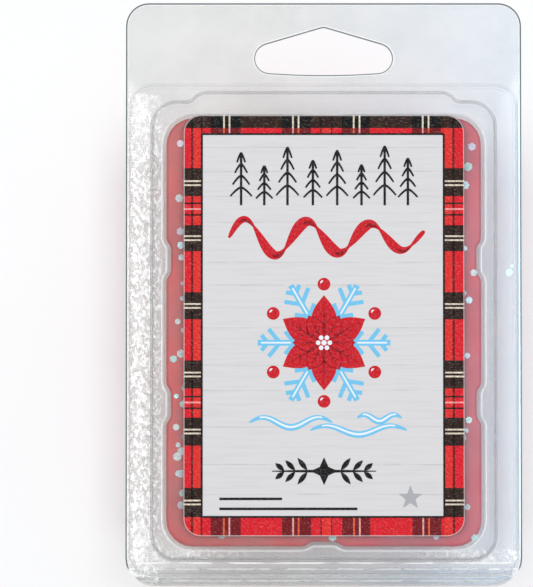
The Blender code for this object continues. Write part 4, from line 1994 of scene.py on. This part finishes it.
    def grey(self, surface: Surface, top: float) -> None:
        """The small star in the panel's corner."""
        self.plate(surface, pointed(*self.small_star, 2.3, 0.95, 5), top)


# The studio


@dataclass(frozen=True)
class Lamp:
    """One area light that faces the pack, with its second size along Y."""

    name: str
    place: Point
    size: Span
    power: float
    colour: Colour

    def build(self) -> None:
        """Puts the light up, turned so that it looks at the middle of the pack."""
        data = bpy.data.lights.new(self.name, "AREA")
        data.shape = "RECTANGLE"
        data.size, data.size_y = self.size
        data.energy = self.power
        data.color = self.colour
        lamp = bpy.data.objects.new(self.name, data)
        lamp.location = self.place
        x, y, z = self.place
        lamp.rotation_euler = (-math.asin(y / math.hypot(x, y, z)), math.atan2(x, z), 0.0)
        bpy.context.scene.collection.objects.link(lamp)


@dataclass
class Studio:
    """A pale floor, soft light from above, and a camera that looks down at the pack."""

    aim: Point = (-10.4 * MM, 0.0, 20.0 * MM)
    distance: float = 700.0 * MM
    elevation: float = 88.0
    sensor: float = 36.0
    view_length: float = 106.6 * MM
    clip_start: float = 10.0 * MM
    see_through: int = 32
    room: Colour = (0.97, 0.985, 1.0)
    room_light: float = 0.36
    floor_half: float = 1.5
    floor_drop: float = 0.05 * MM
    paper: tuple[Colour, Colour] = ((0.90, 0.90, 0.90), (0.93, 0.93, 0.93))
    lamps: tuple[Lamp, ...] = (
        Lamp("left_panel", (-0.33, 0.10, 0.80), (0.36, 0.60), 3.25, (1.0, 0.99, 0.98)),
        Lamp("right_panel", (0.35, 0.10, 0.80), (0.36, 0.60), 3.35, (0.98, 0.99, 1.0)),
        Lamp("right_glint", (0.078, 0.0185, 0.80), (0.03, 0.168), 0.21, (0.26, 0.70, 1.0)),
        Lamp("left_glint", (-0.059, -0.10, 0.80), (0.012, 0.35), 0.02, (1.0, 1.0, 0.97)),
    )

    def build(self) -> None:
        """Sets up the camera, the floor and the lights."""
        scene = bpy.context.scene
        scene.view_settings.view_transform = "Standard"
        scene.cycles.transparent_max_bounces = self.see_through
        self.camera(scene)
        self.floor()
        world = bpy.data.worlds.new("soft_room")
        world.use_nodes = True
        background = world.node_tree.nodes["Background"]
        background.inputs["Color"].default_value = (*self.room, 1.0)
        background.inputs["Strength"].default_value = self.room_light
        scene.world = world
        for lamp in self.lamps:
            lamp.build()

    def camera(self, scene: bpy.types.Scene) -> None:
        """A camera whose lens spans view_length at the distance of the aim.

        Args:
            scene: what it is set for.
        """
        data = bpy.data.cameras.new("camera")
        data.sensor_width = self.sensor
        data.lens = self.sensor * self.distance / self.view_length
        data.clip_start = self.clip_start
        camera = bpy.data.objects.new("camera", data)
        angle = math.radians(self.elevation)
        back, up = self.distance * math.cos(angle), self.distance * math.sin(angle)
        camera.location = (self.aim[0], self.aim[1] - back, self.aim[2] + up)
        camera.rotation_euler = (math.radians(90.0) - angle, 0.0, 0.0)
        scene.collection.objects.link(camera)
        scene.camera = camera

    def floor(self) -> None:
        """A wide pale floor just under the pack."""
        surface = Surface()
        steps = np.linspace(-self.floor_half, self.floor_half, 25)
        flat = np.stack(np.meshgrid(steps, steps), axis=-1)
        surface.grid(lifted(flat, -self.floor_drop), around=False)
        graph = Graph("pale_floor")
        shade = graph.mix(graph.noise(graph.place(), 0.02), *self.paper)
        finish = graph.principled(Base_Color=shade, Roughness=0.9, Specular_IOR_Level=0.1)
        floor = surface.build("floor", finish)


def main() -> None:
    """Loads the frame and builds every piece."""
    logging.basicConfig(level=logging.INFO, format="%(name)s: %(message)s")
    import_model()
    shape = PackShape()
    Studio().build()
    Tray(shape).build()
    WaxBar(shape).build()
    Lid(shape).build()
    FoldWeb().build()
    FoldRibs().build()
    Label().build()


if __name__ == "__main__":
    main()
